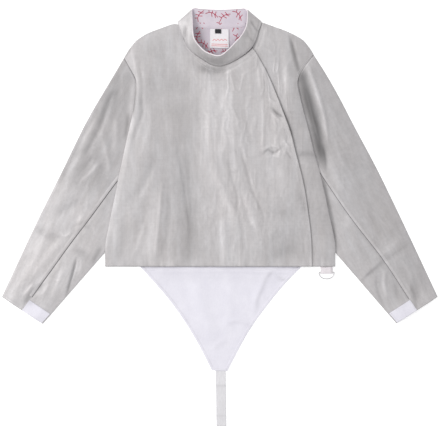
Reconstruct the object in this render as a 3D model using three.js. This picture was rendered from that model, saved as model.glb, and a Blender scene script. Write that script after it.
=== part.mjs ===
// A sabre fencer's conductive jacket, laid flat and face up on a table.
// Millimetres. X runs to the right of the laid jacket, Y towards its collar, Z up from the table.
import * as THREE from "three";

// Driving dimensions
const CLOTH = 1.2; // thickness of one panel
const SEAM = 0.3; // gap between two pieces that meet
const SLEEVE_GAP = 0.5; // air between the two layers of a sleeve where the body lies on it
const TUCKED_TOP = 2 * CLOTH + SLEEVE_GAP;
const BACK_RAISED = TUCKED_TOP + SEAM; // height of the back panel's underside over a sleeve
const HEM_Y = -103.1;
const BACK_HEM_Y = -98.1;
const EMERGE_Y = -73.7; // where the sleeves come out from under the body's sides
const PIT_Y = 66; // armpit, hidden under the body
const ARM_SEAM_Y = 288.5; // above it the left armhole seam shows
const ARM_TOP_Y = 335; // top of the left armhole seam
const COVERED_LOW = EMERGE_Y - SEAM; // the body lies on the sleeves between these heights
const COVERED_HIGH = ARM_SEAM_Y + 0.5;
const BACK_STEP_HIGH = COVERED_HIGH + 5; // top of the back's raised part
const FRONT_CLEAR = 0.7; // least air between back and front
const FRONT_LOFT = 1.7; // mean extra air under the front
const FOLD_LIMIT = 1.6; // how far folds rise or sink about that
const SUPPORT_LOW = { y: -84, fade: 10 }; // the fronts come up on to the raised back above here
const SUPPORT_HIGH = { y: 306, fade: 14 }; // and down again below here
const SUPPORT_INWARD = 34; // width over which they come down towards the middle
const SLEEVE_LOFT = 2.2;
const SLEEVE_FLAT = 12; // how far out from the body's edge a sleeve stays flat
const SLEEVE_CLIMB = 34; // then the width over which it rises to its full height
const SLEEVE_SHOULDER = 0.22; // share of a sleeve's width over which it rises from its fold edge
const FOLD_NOSE = 2.4; // how far in from a sleeve's fold edge its layers reach full height
const BACK_RAMP = 5; // width of the step by which the back comes down beside a sleeve
const RAISED_LEAST = 3; // least width of the back's raised strip, before its margin
const RAISED_MARGIN = 1.5;
const TOP_BEND = 4; // how late a panel's rows bend towards its shoulder and neck line
const LAP_WIDTH = 18; // how far the side front runs on under the main front
const LAP_RISE = CLOTH + 0.8;
const LAP_COLUMNS = 3; // columns of points that the two fronts share under the lap
const LAP_START = 5; // columns in from its edge where the main front starts to rise over the side front
const LAP_CLIMB = 3; // columns over which it rises
const EDGE_ROLL = 4; // width of the folded strip at the body's side edges
const EDGE_FOLD = 0.9; // extra thickness of that strip
const MAIN_COLUMNS = 20;
const SIDE_COLUMNS = 7;
const BACK_COLUMNS = 11;
const COLLAR_WALL = 1.2;
const LINING_WALL = 0.8;
const LINING_GAP = 0.6; // between the collar and its lining, which turns tightly at the side folds
const PATCH_WALL = 1;
const LABEL_WALL = 1;
const WEBBING = 1.1;
const RING_WIRE = 1.35; // radius of the D-ring's wire

const LAME = { color: 0xc3c1c3, roughness: 0.42, metalness: 0.55 };
const WHITE = { color: 0xe6e4ee, roughness: 0.8, metalness: 0 };
const LINING = { color: 0xd3ced8, roughness: 0.85, metalness: 0 };
const ELASTIC = { color: 0xdddddf, roughness: 0.75, metalness: 0 };
const BLACK = { color: 0x1b1b1f, roughness: 0.7, metalness: 0 };
const STEEL = { color: 0xb9b9bd, roughness: 0.25, metalness: 1 };

// Body sides from the hem up to the shoulder tip: y, then x of the edge.
const LEFT_SIDE = [
  [HEM_Y, -240.7], [-55.9, -240.7], [2.9, -228.9], [44.1, -220.1], [76.4, -214], [117.6, -205.4],
  [159, -196.4], [197.2, -187.5], [221.3, -181.7], [260, -177], [288.5, -174.3], [312, -188],
  [335, -200.8], [355, -189], [371, -176],
];
const RIGHT_SIDE = [
  [HEM_Y, 242.1], [-50.2, 241.9], [2.9, 229.3], [44.1, 221.3], [94.1, 209.6], [144.3, 194.9],
  [173.7, 189], [215, 177.2], [250.3, 168.4], [282.7, 161.1], [303.2, 168.4], [341.7, 196.4],
  [355, 189], [372.5, 174.3],
];
// Heights on each side where its rows of points are pinned, from the hem to the shoulder tip, with the
// number of rows from the one before.
const STAGES = [
  { rows: 0, left: HEM_Y, right: HEM_Y },
  { rows: 2, left: EMERGE_Y, right: EMERGE_Y },
  { rows: 7, left: PIT_Y, right: PIT_Y },
  { rows: 11, left: ARM_SEAM_Y, right: 282.7 },
  { rows: 3, left: ARM_TOP_Y, right: 341.7 },
  { rows: 3, left: 371, right: 372.5 },
];
const ROW_EMERGE = 2; // row where the sleeve comes out from under the body
const ROW_PIT = 9; // row of the armpit
const ROW_ARM_TOP = 23; // row where the armhole seam meets the outline

// How far the sleeve lies in under the body: y, distance.
const TUCK = [
  [HEM_Y, -30], [EMERGE_Y, 0], [-30, 24], [20, 50], [PIT_Y, 68], [110, 58], [155, 42], [205, 24],
  [250, 9], [282.7, -SEAM], [372.5, -SEAM],
];

// Shoulder and neck lines from left to right. "at" is the share of the panel's columns.
const FRONT_TOP = [
  { at: 0, x: -176, y: 371 }, { at: 0.1, x: -152.3, y: 385.8 }, { at: 0.32, x: -88.8, y: 409.3 },
  { at: 0.37, x: -85, y: 393 }, { at: 0.42, x: -80.2, y: 377 }, { at: 0.48, x: -71.2, y: 354.5 },
  { at: 0.55, x: -56.1, y: 340 }, { at: 0.64, x: -35.1, y: 325.4 }, { at: 0.7, x: -20.6, y: 316.6 },
  { at: 0.77, x: -3.8, y: 312.7 }, { at: 0.81, x: 10.9, y: 314.8 }, { at: 0.87, x: 35.1, y: 325.8 },
  { at: 0.93, x: 56.1, y: 339.4 }, { at: 1, x: 71.2, y: 353.4 },
];
const SIDE_TOP = [
  { at: 0, x: 71.2, y: 353.4 }, { at: 0.16, x: 80.2, y: 377 }, { at: 0.28, x: 85, y: 393 },
  { at: 0.4, x: 88.6, y: 409.3 }, { at: 0.52, x: 104, y: 403 }, { at: 0.8, x: 141.8, y: 390.2 },
  { at: 1, x: 174.3, y: 372.5 },
];
const BACK_TOP = [
  [-176, 371], [-152.3, 385.8], [-88.8, 409.3], [-60, 403], [-20, 398.5], [20, 398.5], [60, 403],
  [88.6, 409.3], [141.8, 390.2], [174.3, 372.5],
];
// Edge of the main front where it laps over the side front, from the hem to the neck seam.
const LAP_EDGE = [
  [193.4, HEM_Y], [191.9, -47.3], [186.1, 2.9], [177.2, 61.7], [168.4, 100], [158.1, 138.4],
  [147.8, 179.6], [135.9, 211.9], [116.8, 262.1], [97.7, 306.2], [71.2, 353.4],
];
// Sleeves: outer edge from the armhole to the cuff, visible under edge back from the body to the cuff.
const SLEEVES = {
  left: {
    sign: -1,
    side: LEFT_SIDE,
    outer: [[-200.8, 335], [-231.8, 282.7], [-258.3, 238.6], [-284.8, 191.3], [-329.1, 100],
      [-377.6, 2.9], [-457.2, -166.5]],
    under: [[-240.7, EMERGE_Y], [-262, -98], [-314.2, -157.7], [-351.1, -200.3], [-371.7, -223.4]],
  },
  right: {
    sign: 1,
    side: RIGHT_SIDE,
    outer: [[196.4, 341.7], [206.6, 327], [245.1, 262.1], [283.3, 188.4], [324.5, 111.7],
      [377.6, 2.9], [457.2, -166.5]],
    under: [[241.9, EMERGE_Y], [262, -97], [312, -155], [352.6, -202], [370.2, -222.4]],
  },
};
const SLEEVE_STATIONS = 15; // stations from where the sleeve comes out to the cuff
// Share of the outer edge's length at a share of the stations. The last lie closer, so that rows near the
// cuff run alongside it.
const OUTER_PACE = [[0, 0], [0.8, 0.9], [1, 1]];

// Main folds of the fronts: a line from x, y to x, y, half width, and height (below 0 sinks).
const FRONT_FOLDS = [
  { from: [-181, 352], to: [-171, 292], half: 7, height: 1.3 },
  { from: [-174, 285], to: [-232, -70], half: 9, height: 1.1 },
  { from: [-108, -98], to: [-92, 330], half: 22, height: -1.1 },
  { from: [-115, 5], to: [-140, -98], half: 11, height: 1.4 },
  { from: [-115, 5], to: [-102, 90], half: 9, height: 1 },
  { from: [-20, 18], to: [-24, 200], half: 12, height: 0.9 },
  { from: [60, 100], to: [92, 0], half: 10, height: -1.2 },
  { from: [100, 190], to: [132, 175], half: 8, height: -1.3 },
  { from: [95, 120], to: [150, 128], half: 8, height: 1.2 },
  { from: [30, -10], to: [26, -95], half: 11, height: -1 },
  { from: [205, 60], to: [226, -90], half: 9, height: 1.2 },
  { from: [223, -112], to: [223, -85], half: 15, height: 1.4 },
];
// Main folds of each sleeve, laid out the same way.
const SLEEVE_FOLDS = {
  left: [
    { from: [-205, 290], to: [-240, 205], half: 11, height: -1.6 },
    { from: [-240, 205], to: [-275, 150], half: 12, height: -1.3 },
    { from: [-250, 230], to: [-330, 60], half: 10, height: 1.2 },
    { from: [-382, -130], to: [-415, -182], half: 9, height: -1.4 },
    { from: [-308, -112], to: [-325, -171], half: 8, height: 1.3 },
  ],
  right: [
    { from: [190, 310], to: [220, 215], half: 11, height: 1.6 },
    { from: [172, 290], to: [214, 150], half: 8, height: -1.8 },
    { from: [250, 180], to: [300, 90], half: 11, height: -1.2 },
    { from: [400, -50], to: [308, -121], half: 10, height: 1.5 },
    { from: [343, -136], to: [353, -188], half: 8, height: -1.3 },
  ],
};

// Collar as a flattened ring, front from left to right, then the back: base and top edge points.
const COLLAR = [
  { base: [-88.4, 409.4, 5.4], top: [-58.8, 435.6, 6.6] },
  { base: [-83.4, 394, 6.2], top: [-58.2, 414, 15] },
  { base: [-78.2, 378, 6.6], top: [-57.3, 393, 21] },
  { base: [-68.2, 356.6, 6.6], top: [-54.6, 373, 24] },
  { base: [-54, 343, 6.4], top: [-45, 357.6, 25] },
  { base: [-34, 329.4, 6.2], top: [-30, 344, 26] },
  { base: [-19.6, 320.4, 6], top: [-18, 338.8, 25.8] },
  { base: [-3.6, 316.6, 6], top: [-6, 336, 25] },
  { base: [10, 318.6, 6.2], top: [4, 337.4, 24.4] },
  { base: [33.4, 329.4, 7.4], top: [16, 347, 23.4] },
  { base: [53.4, 342.6, 8.8], top: [29, 360, 22.4] },
  { base: [67.6, 356, 9.4], top: [39.4, 371.4, 21.6] },
  { base: [77, 374.6, 8], top: [49, 384, 19] },
  { base: [82.4, 393, 6.8], top: [56.4, 402, 14] },
  { base: [88, 409.4, 5.4], top: [57.8, 434.8, 6.6] },
  { base: [84, 413, 0.5], top: [54.6, 438.4, 0.7] },
  { base: [60, 405.6, 0], top: [40, 437.2, 0] },
  { base: [0, 400, 0], top: [0, 435.4, 0] },
  { base: [-60, 405.6, 0], top: [-40, 437.2, 0] },
  { base: [-84.4, 413, 0.5], top: [-55.4, 439.2, 0.7] },
];
const COLLAR_STEPS = 60;
const COLLAR_RISE = [0, 0.33, 0.67, 1];
const LINING_TRIM = 0.03; // share of the collar's height that its lining leaves bare at each edge

const CROTCH_LEFT = [[-172, BACK_HEM_Y - SEAM], [-103.5, -176], [-52.1, -253.3], [-16.8, -320.7]];
const CROTCH_RIGHT = [[177, BACK_HEM_Y - SEAM], [140.7, -134.2], [95.8, -189], [63.6, -233.9],
  [34.7, -285.4], [15.5, -322.4]];
// Soft rises in the crotch panel, laid out like the fronts' folds.
const CROTCH_FOLDS = [
  { from: [98, -115], to: [79, -185], half: 9, height: 1.6 },
  { from: [44, -205], to: [66, -236], half: 8, height: 1.2 },
  { from: [-60, -130], to: [-20, -240], half: 18, height: 1.3 },
];
const CROTCH_FOLD_TOP = { y: -104, fade: 16 }; // its folds die out under the jacket's hem
const CROTCH_FOLD_LOW = { y: -300, fade: 20 }; // and above the strap
const CROTCH_POINT = { y: -290, climb: 11 }; // the panel's point rises on to the strap below here
const STRAP_WIDTH = 20.8;
const STRAP_CENTRE = 1.6;
const STRAP_LEAN = 0.014; // how far it drifts to the right for each millimetre down
const STRAP_TOP_Y = -305; // upper end, under the crotch panel's point
const STRAP_PANEL_Y = -323.6; // where it comes out from under the panel
const STRAP_SEWN_Y = -351; // end of its doubled upper part
const STRAP_MIDDLE_Y = -385;
const STRAP_TURN_Y = -418; // start of its turned back end
const STRAP_STEP = 2; // length of the step between one layer and two
const STRAP_END_Y = -438;
const RING_X = 223.8;
const RING_BAR_Y = -115.3;
const RING_BAR_Z = 3.2;
const RING_WIDTH = 34.3;
const RING_DROP = 13.8; // from the bar's middle to the arc's
const RING_TILT = Math.asin((RING_BAR_Z - RING_WIRE - 0.05) / RING_DROP);
const RING_CORNER = 2.2; // how far in from the ends of the bar its bends begin
const RING_FULLNESS = 0.8; // below 1 makes the arc squarer than half an ellipse
const RING_ARC_STEPS = 14;
const TAB_WIDTH = 25;
const TAB_TAIL_Y = -91; // where the webbing ends between back and front
const TAB_BEND_Y = HEM_Y - 3; // where its two layers part to go round the bar
const TAB_EYE = RING_WIRE + 0.4; // radius of its inside round the bar
const TAB_WRAP = { from: 0.32 * Math.PI, to: 1.6 * Math.PI };
const PATCH_STATIONS = 3;
const PATCH_COLUMNS = 8;
const LINING_LOW_Y = 300;
const LINING_HALF = { low: 62, high: 82 }; // half width of the back lining at its lower and upper ends
const LINING_FLARE = 1.6; // how soon it widens
const LINING_TOP_TRIM = 1.2; // how far below the back's upper edge it ends
const LABELS = [
  {
    name: "neck_label",
    corners: [[-21.4, 355.5], [20, 354], [19, 394.5], [-20.4, 395.5]],
    under: CLOTH + SEAM + LINING_WALL + SEAM,
    wall: LABEL_WALL,
    look: WHITE,
  },
  {
    name: "size_label",
    corners: [[-10, 385.8], [2.8, 385.6], [2.8, 394.6], [-10, 394.8]],
    under: CLOTH + SEAM + LINING_WALL + SEAM + LABEL_WALL + SEAM,
    wall: LABEL_WALL,
    look: BLACK,
  },
];

const clamp01 = (value) => Math.min(1, Math.max(0, value));
const smooth = (value) => clamp01(value) ** 2 * (3 - 2 * clamp01(value));
const mix = (a, b, share) => a + (b - a) * share;

// Value at "key" in a table of [key, value] rows, straight between rows.
function lookUp(table, key) {
  const rising = table[table.length - 1][0] > table[0][0];
  for (let i = 1; i < table.length; i += 1) {
    const inside = rising ? key <= table[i][0] : key >= table[i][0];
    if (inside || i === table.length - 1) {
      const share = (key - table[i - 1][0]) / (table[i][0] - table[i - 1][0]);
      return mix(table[i - 1][1], table[i][1], clamp01(share));
    }
  }
  return table[0][1];
}

// Curve through points, read by its share of the length.
function lengthCurve(points) {
  const curve = new THREE.CatmullRomCurve3(points.map(([x, y]) => new THREE.Vector3(x, y, 0)),
    false, "centripetal");
  return (share) => {
    const point = curve.getPointAt(clamp01(share));
    return [point.x, point.y];
  };
}

// Curve through rows that say at what share of the panel's width they lie.
function topCurve(rows) {
  const xs = rows.map((row) => [row.at, row.x]);
  const ys = rows.map((row) => [row.at, row.y]);
  return (share) => [lookUp(xs, share), lookUp(ys, share)];
}

// Rows of y on both sides, from the hem to the shoulder tip.
const BODY_ROWS = [{ left: HEM_Y, right: HEM_Y }];
STAGES.slice(1).forEach((stage, i) => {
  for (let k = 1; k <= stage.rows; k += 1) {
    BODY_ROWS.push({
      left: mix(STAGES[i].left, stage.left, k / stage.rows),
      right: mix(STAGES[i].right, stage.right, k / stage.rows),
    });
  }
});
const LAST_ROW = BODY_ROWS.length - 1;
const rowShare = (row) => (BODY_ROWS[row].left - HEM_Y) / (BODY_ROWS[LAST_ROW].left - HEM_Y);
const sideX = (side, y) => lookUp(side, y);
const tuckAt = (y) => lookUp(TUCK, y);
const raisedWidth = (y) => Math.max(tuckAt(y), RAISED_LEAST) + RAISED_MARGIN;

// Patch filled in between its left, right, bottom and top lines.
function patchPoint(sides, u, v) {
  const { left, right, bottom, top, corners } = sides;
  return [0, 1].map((axis) => {
    const across = mix(left[axis], right[axis], u);
    const along = mix(bottom[axis], top[axis], v);
    const low = mix(corners[0][axis], corners[1][axis], u);
    const high = mix(corners[2][axis], corners[3][axis], u);
    return across + along - mix(low, high, v);
  });
}

// Height of a soft fold at a point: highest on its line, fading across and towards both ends.
function foldHeight(folds, x, y) {
  let height = 0;
  for (const fold of folds) {
    const alongX = fold.to[0] - fold.from[0];
    const alongY = fold.to[1] - fold.from[1];
    const length = Math.hypot(alongX, alongY);
    const along = ((x - fold.from[0]) * alongX + (y - fold.from[1]) * alongY) / length;
    const across = ((x - fold.from[0]) * alongY - (y - fold.from[1]) * alongX) / length;
    const ends = smooth((along + fold.half) / (3 * fold.half))
      * smooth((length + fold.half - along) / (3 * fold.half));
    height += fold.height * ends * Math.exp(-((across / fold.half) ** 2));
  }
  return height;
}

// Distance in from the body's nearer side edge.
const insetAt = (x, y) => (x < 0 ? x - sideX(LEFT_SIDE, y) : sideX(RIGHT_SIDE, y) - x);
const isTucked = (y) => y > COVERED_LOW && y < BACK_STEP_HIGH;

// Underside of the back: flat on the table, raised where it lies on a sleeve.
function backUnder(x, y) {
  const inset = insetAt(x, y);
  if (!isTucked(y)) {
    return 0;
  }
  return BACK_RAISED * (1 - clamp01((inset - raisedWidth(y)) / BACK_RAMP));
}

// Smooth height over the back that the fronts lie on.
function frontSupport(x, y) {
  const fade = smooth((y - SUPPORT_LOW.y) / SUPPORT_LOW.fade)
    * smooth((SUPPORT_HIGH.y - y) / SUPPORT_HIGH.fade);
  const over = 1 - smooth((insetAt(x, y) - raisedWidth(y) - BACK_RAMP) / SUPPORT_INWARD);
  return CLOTH + BACK_RAISED * over * fade;
}

// Underside of the fronts, with their folds.
function frontUnder(x, y, atEdge) {
  if (atEdge) {
    return backUnder(x, y) + CLOTH + SEAM;
  }
  const folds = foldHeight(FRONT_FOLDS, x, y);
  const limited = FOLD_LIMIT * Math.tanh(folds / FOLD_LIMIT);
  return frontSupport(x, y) + FRONT_CLEAR + FRONT_LOFT + limited;
}

// Closed wall between an upper and a lower grid of points, rows of equal length.
function wallGeometry(upper, lower, closedRows = false) {
  const rows = upper.length;
  const columns = upper[0].length;
  const positions = [...upper.flat(), ...lower.flat()].flat();
  const below = rows * columns;
  const index = [];
  const at = (row, column) => row * columns + (column % columns);
  const quad = (a, b, c, d) => index.push(a, b, c, a, c, d);
  const lastColumn = closedRows ? columns : columns - 1;
  for (let row = 0; row < rows - 1; row += 1) {
    for (let column = 0; column < lastColumn; column += 1) {
      const corners = [at(row, column), at(row, column + 1), at(row + 1, column + 1), at(row + 1, column)];
      quad(...corners);
      quad(...corners.map((corner) => corner + below).reverse());
    }
  }
  for (let column = 0; column < lastColumn; column += 1) {
    const near = [at(0, column), at(0, column + 1)];
    const far = [at(rows - 1, column), at(rows - 1, column + 1)];
    quad(near[1], near[0], near[0] + below, near[1] + below);
    quad(far[0], far[1], far[1] + below, far[0] + below);
  }
  if (!closedRows) {
    for (let row = 0; row < rows - 1; row += 1) {
      const near = [at(row, 0), at(row + 1, 0)];
      const far = [at(row, columns - 1), at(row + 1, columns - 1)];
      quad(near[0], near[1], near[1] + below, near[0] + below);
      quad(far[1], far[0], far[0] + below, far[1] + below);
    }
  }
  const geometry = new THREE.BufferGeometry();
  geometry.setAttribute("position", new THREE.Float32BufferAttribute(positions, 3));
  geometry.setIndex(index);
  geometry.computeVertexNormals();
  return geometry;
}

function cloth(name, geometry, look) {
  const mesh = new THREE.Mesh(geometry, new THREE.MeshStandardMaterial(look));
  mesh.name = name;
  return mesh;
}

// Panel from a plan grid: each point's underside and thickness come from two functions.
function panel(name, plan, under, thickness, look) {
  const lower = plan.map((row, i) => row.map(([x, y], j) => [x, y, under(x, y, i, j)]));
  const upper = lower.map((row, i) => row.map(([x, y, z], j) => [x, y, z + thickness(i, j)]));
  return cloth(name, wallGeometry(upper, lower), look);
}

// Plan of a body panel: one row of points for each body row, at the given shares of its width. Rows run
// straight from side to side, and the upper ones bend towards the shoulder and neck line.
function bodyPlan({ leftAt, rightAt, top, sharesAt }) {
  return BODY_ROWS.map((bodyRow, row) => {
    const bend = rowShare(row) ** TOP_BEND;
    const left = leftAt(row);
    const right = rightAt(row);
    return sharesAt(row, right[0] - left[0]).map((u) => [0, 1].map((axis) => {
      const rise = top(u)[axis] - mix(top(0)[axis], top(1)[axis], u);
      return mix(left[axis], right[axis], u) + bend * rise;
    }));
  });
}

const evenShares = (count) => Array.from({ length: count + 1 }, (_, i) => i / count);
const lapCurve = lengthCurve(LAP_EDGE);
const lapPoint = (row) => lapCurve(rowShare(row));
const leftEdge = (row) => [sideX(LEFT_SIDE, BODY_ROWS[row].left), BODY_ROWS[row].left];
const rightEdge = (row) => [sideX(RIGHT_SIDE, BODY_ROWS[row].right), BODY_ROWS[row].right];

function makeFronts() {
  const mainPlan = bodyPlan({
    leftAt: leftEdge,
    rightAt: lapPoint,
    top: topCurve(FRONT_TOP),
    sharesAt: (row, width) => {
      const roll = EDGE_ROLL / width;
      const lap = LAP_WIDTH / width;
      const inner = evenShares(MAIN_COLUMNS).map((share) => mix(roll, 1 - lap, share));
      return [0, ...inner, 1 - lap / 2, 1];
    },
  });
  const sidePlan = bodyPlan({
    leftAt: lapPoint,
    rightAt: rightEdge,
    top: topCurve(SIDE_TOP),
    sharesAt: (row, width) => {
      const inner = evenShares(SIDE_COLUMNS).slice(1).map((share) => share * (1 - EDGE_ROLL / width));
      return [...inner, 1];
    },
  }).map((row, i) => [...mainPlan[i].slice(-LAP_COLUMNS), ...row]);

  const lastMain = mainPlan[0].length - 1;
  const mainRise = (column) => LAP_RISE * smooth((column - lastMain + LAP_START) / LAP_CLIMB);
  const main = panel("front_main", mainPlan,
    (x, y, row, column) => frontUnder(x, y, column === 0) + mainRise(column),
    (row, column) => (column === 0 ? CLOTH + EDGE_FOLD : CLOTH), LAME);
  const lastSide = sidePlan[0].length - 1;
  const side = panel("front_side", sidePlan,
    (x, y, row, column) => frontUnder(x, y, column === lastSide),
    (row, column) => (column === lastSide ? CLOTH + EDGE_FOLD : CLOTH), LAME);
  return [main, side];
}

function makeBack() {
  const edgeY = (y) => Math.max(y, BACK_HEM_Y);
  const backLeft = (row) => [sideX(LEFT_SIDE, BODY_ROWS[row].left), edgeY(BODY_ROWS[row].left)];
  const backRight = (row) => [sideX(RIGHT_SIDE, BODY_ROWS[row].right), edgeY(BODY_ROWS[row].right)];
  const backTop = (share) => {
    const x = mix(BACK_TOP[0][0], BACK_TOP[BACK_TOP.length - 1][0], share);
    return [x, lookUp(BACK_TOP, x)];
  };
  const insets = (y) => {
    const raised = raisedWidth(y);
    return [0, raised / 2, raised, raised + BACK_RAMP];
  };
  const plan = bodyPlan({
    leftAt: backLeft,
    rightAt: backRight,
    top: backTop,
    sharesAt: (row, width) => {
      const near = insets(BODY_ROWS[row].left).map((inset) => inset / width);
      const far = insets(BODY_ROWS[row].right).map((inset) => 1 - inset / width).reverse();
      const inner = evenShares(BACK_COLUMNS).slice(1, -1)
        .map((share) => mix(near[near.length - 1], far[0], share));
      return [...near, ...inner, ...far];
    },
  });
  return panel("back", plan, backUnder, () => CLOTH, LAME);
}

// A sleeve: a flattened tube from the armhole to the cuff. Its points across follow the body's rows.
function sleevePlan(sleeve, inset) {
  const key = sleeve.sign < 0 ? "left" : "right";
  const hidden = (row) => {
    const y = BODY_ROWS[row][key];
    return [sideX(sleeve.side, y) - sleeve.sign * tuckAt(y), y];
  };
  const arc = [];
  for (let row = ROW_ARM_TOP; row >= ROW_PIT; row -= 1) {
    arc.push(hidden(row));
  }
  const under = [];
  for (let row = ROW_PIT; row >= ROW_EMERGE; row -= 1) {
    under.push(hidden(row));
  }
  const visible = lengthCurve(sleeve.under);
  for (let i = 1; i <= SLEEVE_STATIONS; i += 1) {
    under.push(visible(i / SLEEVE_STATIONS));
  }
  const outer = lengthCurve(sleeve.outer);
  const stations = under.length - 1;
  const columns = arc.length - 1;
  const cuff = [outer(1), under[stations]];
  const corners = [arc[0], arc[columns], cuff[0], cuff[1]];
  return under.map((underPoint, station) => arc.map((arcPoint, column) => {
    const u = column / columns;
    const v = station / stations;
    return patchPoint({
      left: outer(lookUp(OUTER_PACE, v)),
      right: underPoint,
      bottom: arcPoint,
      top: [mix(cuff[0][0], cuff[1][0], u), mix(cuff[0][1], cuff[1][1], u)],
      corners,
    }, u, v);
  })).map((row) => insetRow(row, inset));
}

// A row of points with its two ends drawn in by a distance.
function insetRow(row, distance) {
  const last = row.length - 1;
  const drawIn = (point, next) => {
    const length = Math.hypot(next[0] - point[0], next[1] - point[1]);
    return [0, 1].map((axis) => mix(point[axis], next[axis], distance / length));
  };
  return row.map((point, i) => {
    if (i === 0) {
      return drawIn(point, row[1]);
    }
    return i === last ? drawIn(point, row[last - 1]) : point;
  });
}

// Height of a sleeve's upper face. It is flat under and beside the body and domed where it lies free.
function sleeveTop(sleeve, folds, x, y, across) {
  const isFree = y < COVERED_LOW || y > COVERED_HIGH;
  const beyond = (x - sideX(sleeve.side, y)) * sleeve.sign;
  const clear = isFree ? 1 : smooth((beyond - SLEEVE_FLAT) / SLEEVE_CLIMB);
  const dome = smooth(Math.min(across, 1 - across) / SLEEVE_SHOULDER);
  const limited = FOLD_LIMIT * Math.tanh(foldHeight(folds, x, y) / FOLD_LIMIT);
  return TUCKED_TOP + clear * dome * (SLEEVE_LOFT + limited);
}

function makeSleeve(key) {
  const sleeve = SLEEVES[key];
  const folds = SLEEVE_FOLDS[key];
  const ring = (plan, inner) => plan.map((row) => {
    const last = row.length - 1;
    const full = insetRow(row, FOLD_NOSE);
    const top = full.map(([x, y], i) => {
      const height = sleeveTop(sleeve, folds, x, y, i / last);
      return [x, y, inner ? height - CLOTH : height];
    });
    const bottom = full.map(([x, y]) => [x, y, inner ? CLOTH : 0]);
    const nose = (point) => [point[0], point[1], TUCKED_TOP / 2];
    const loop = [nose(row[0]), ...bottom, nose(row[last]), ...top.reverse()];
    return sleeve.sign < 0 ? loop : loop.reverse();
  });
  const outerRing = ring(sleevePlan(sleeve, 0), false);
  const innerRing = ring(sleevePlan(sleeve, CLOTH), true);
  return cloth(`sleeve_${key}`, wallGeometry(outerRing, innerRing, true), LAME);
}

// Closed curve through one set of points of the collar table.
function collarCurve(pick) {
  const points = COLLAR.map((station) => new THREE.Vector3(...pick(station)));
  return new THREE.CatmullRomCurve3(points, true, "centripetal");
}

function collarGrid(steps, rises) {
  const base = collarCurve((station) => station.base);
  const top = collarCurve((station) => station.top);
  return rises.map((rise) => Array.from({ length: steps }, (_, i) => {
    const share = i / steps;
    const point = base.getPoint(share).lerp(top.getPoint(share), rise);
    return point.setZ(Math.max(point.z, 0));
  }));
}

// Grid of points moved along its own smooth normals.
function moved(grid, distance) {
  const columns = grid[0].length;
  return grid.map((row, i) => row.map((point, j) => {
    const along = row[(j + 1) % columns].clone().sub(row[(j + columns - 1) % columns]);
    const up = grid[Math.min(i + 1, grid.length - 1)][j].clone().sub(grid[Math.max(i - 1, 0)][j]);
    return point.clone().addScaledVector(along.cross(up).normalize(), distance);
  }));
}

const asRows = (grid) => grid.map((row) => row.map((point) => point.toArray()));

function makeCollar() {
  const outside = collarGrid(COLLAR_STEPS, COLLAR_RISE);
  const inside = moved(outside, -COLLAR_WALL);
  const liningRise = COLLAR_RISE.map((rise) => mix(LINING_TRIM, 1 - LINING_TRIM, rise));
  const between = collarGrid(COLLAR_STEPS, liningRise);
  const liningOutside = moved(between, -COLLAR_WALL - LINING_GAP);
  const liningInside = moved(between, -COLLAR_WALL - LINING_GAP - LINING_WALL);
  return [
    cloth("collar", wallGeometry(asRows(outside), asRows(inside), true), LAME),
    cloth("collar_lining", wallGeometry(asRows(liningOutside), asRows(liningInside), true), LINING),
  ];
}

// Plan between two curves that run side by side, with a number of columns between them.
function ribbonPlan(left, right, rows, columns) {
  return evenShares(rows).map((v) => {
    const from = left(v);
    const to = right(v);
    return evenShares(columns).map((u) => [mix(from[0], to[0], u), mix(from[1], to[1], u)]);
  });
}

// Lining of the back, where the neck opening shows it. It lies on the back and ends at the neck seam.
function makeBackLining() {
  const plan = evenShares(10).map((v) => evenShares(12).map((u) => {
    const half = mix(LINING_HALF.low, LINING_HALF.high, smooth(v * LINING_FLARE));
    const x = mix(-half, half, u);
    return [x, mix(LINING_LOW_Y, lookUp(BACK_TOP, x) - LINING_TOP_TRIM, v)];
  }));
  return panel("back_lining", plan, () => CLOTH + SEAM, () => LINING_WALL, LINING);
}

// A label lies on the back lining and on the collar lining's lower edge.
function makeLabel({ name, corners, under, wall, look }) {
  const [lowLeft, lowRight, highRight, highLeft] = corners;
  const plan = evenShares(4).map((v) => evenShares(2).map((u) => [0, 1].map((axis) => mix(
    mix(lowLeft[axis], lowRight[axis], u), mix(highLeft[axis], highRight[axis], u), v))));
  return panel(name, plan, () => under, () => wall, look);
}

// Corner patch on a cuff, made from the sleeve's own upper points moved out.
function makeCuffPatch(key) {
  const sleeve = SLEEVES[key];
  const folds = SLEEVE_FOLDS[key];
  const plan = sleevePlan(sleeve, 0).map((row) => insetRow(row, FOLD_NOSE));
  const last = plan[0].length - 1;
  const rows = plan.slice(-PATCH_STATIONS).map((row) => row.slice(-PATCH_COLUMNS));
  const upper = rows.map((row) => row.map(([x, y], j) => {
    const across = (last - PATCH_COLUMNS + 1 + j) / last;
    return [x, y, sleeveTop(sleeve, folds, x, y, across) + SEAM];
  }));
  const top = upper.map((row) => row.map(([x, y, z]) => [x, y, z + PATCH_WALL]));
  const geometry = sleeve.sign < 0 ? wallGeometry(upper, top) : wallGeometry(top, upper);
  return cloth(`cuff_patch_${key}`, geometry, WHITE);
}

function makeCrotchPanel() {
  const plan = ribbonPlan(lengthCurve(CROTCH_LEFT), lengthCurve(CROTCH_RIGHT), 12, 10);
  const under = (x, y) => {
    const folds = smooth((CROTCH_FOLD_TOP.y - y) / CROTCH_FOLD_TOP.fade)
      * smooth((y - CROTCH_FOLD_LOW.y) / CROTCH_FOLD_LOW.fade)
      * foldHeight(CROTCH_FOLDS, x, y);
    return folds + (WEBBING + SEAM) * smooth((CROTCH_POINT.y - y) / CROTCH_POINT.climb);
  };
  return panel("crotch_panel", plan.reverse(), under, () => CLOTH, WHITE);
}

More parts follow.
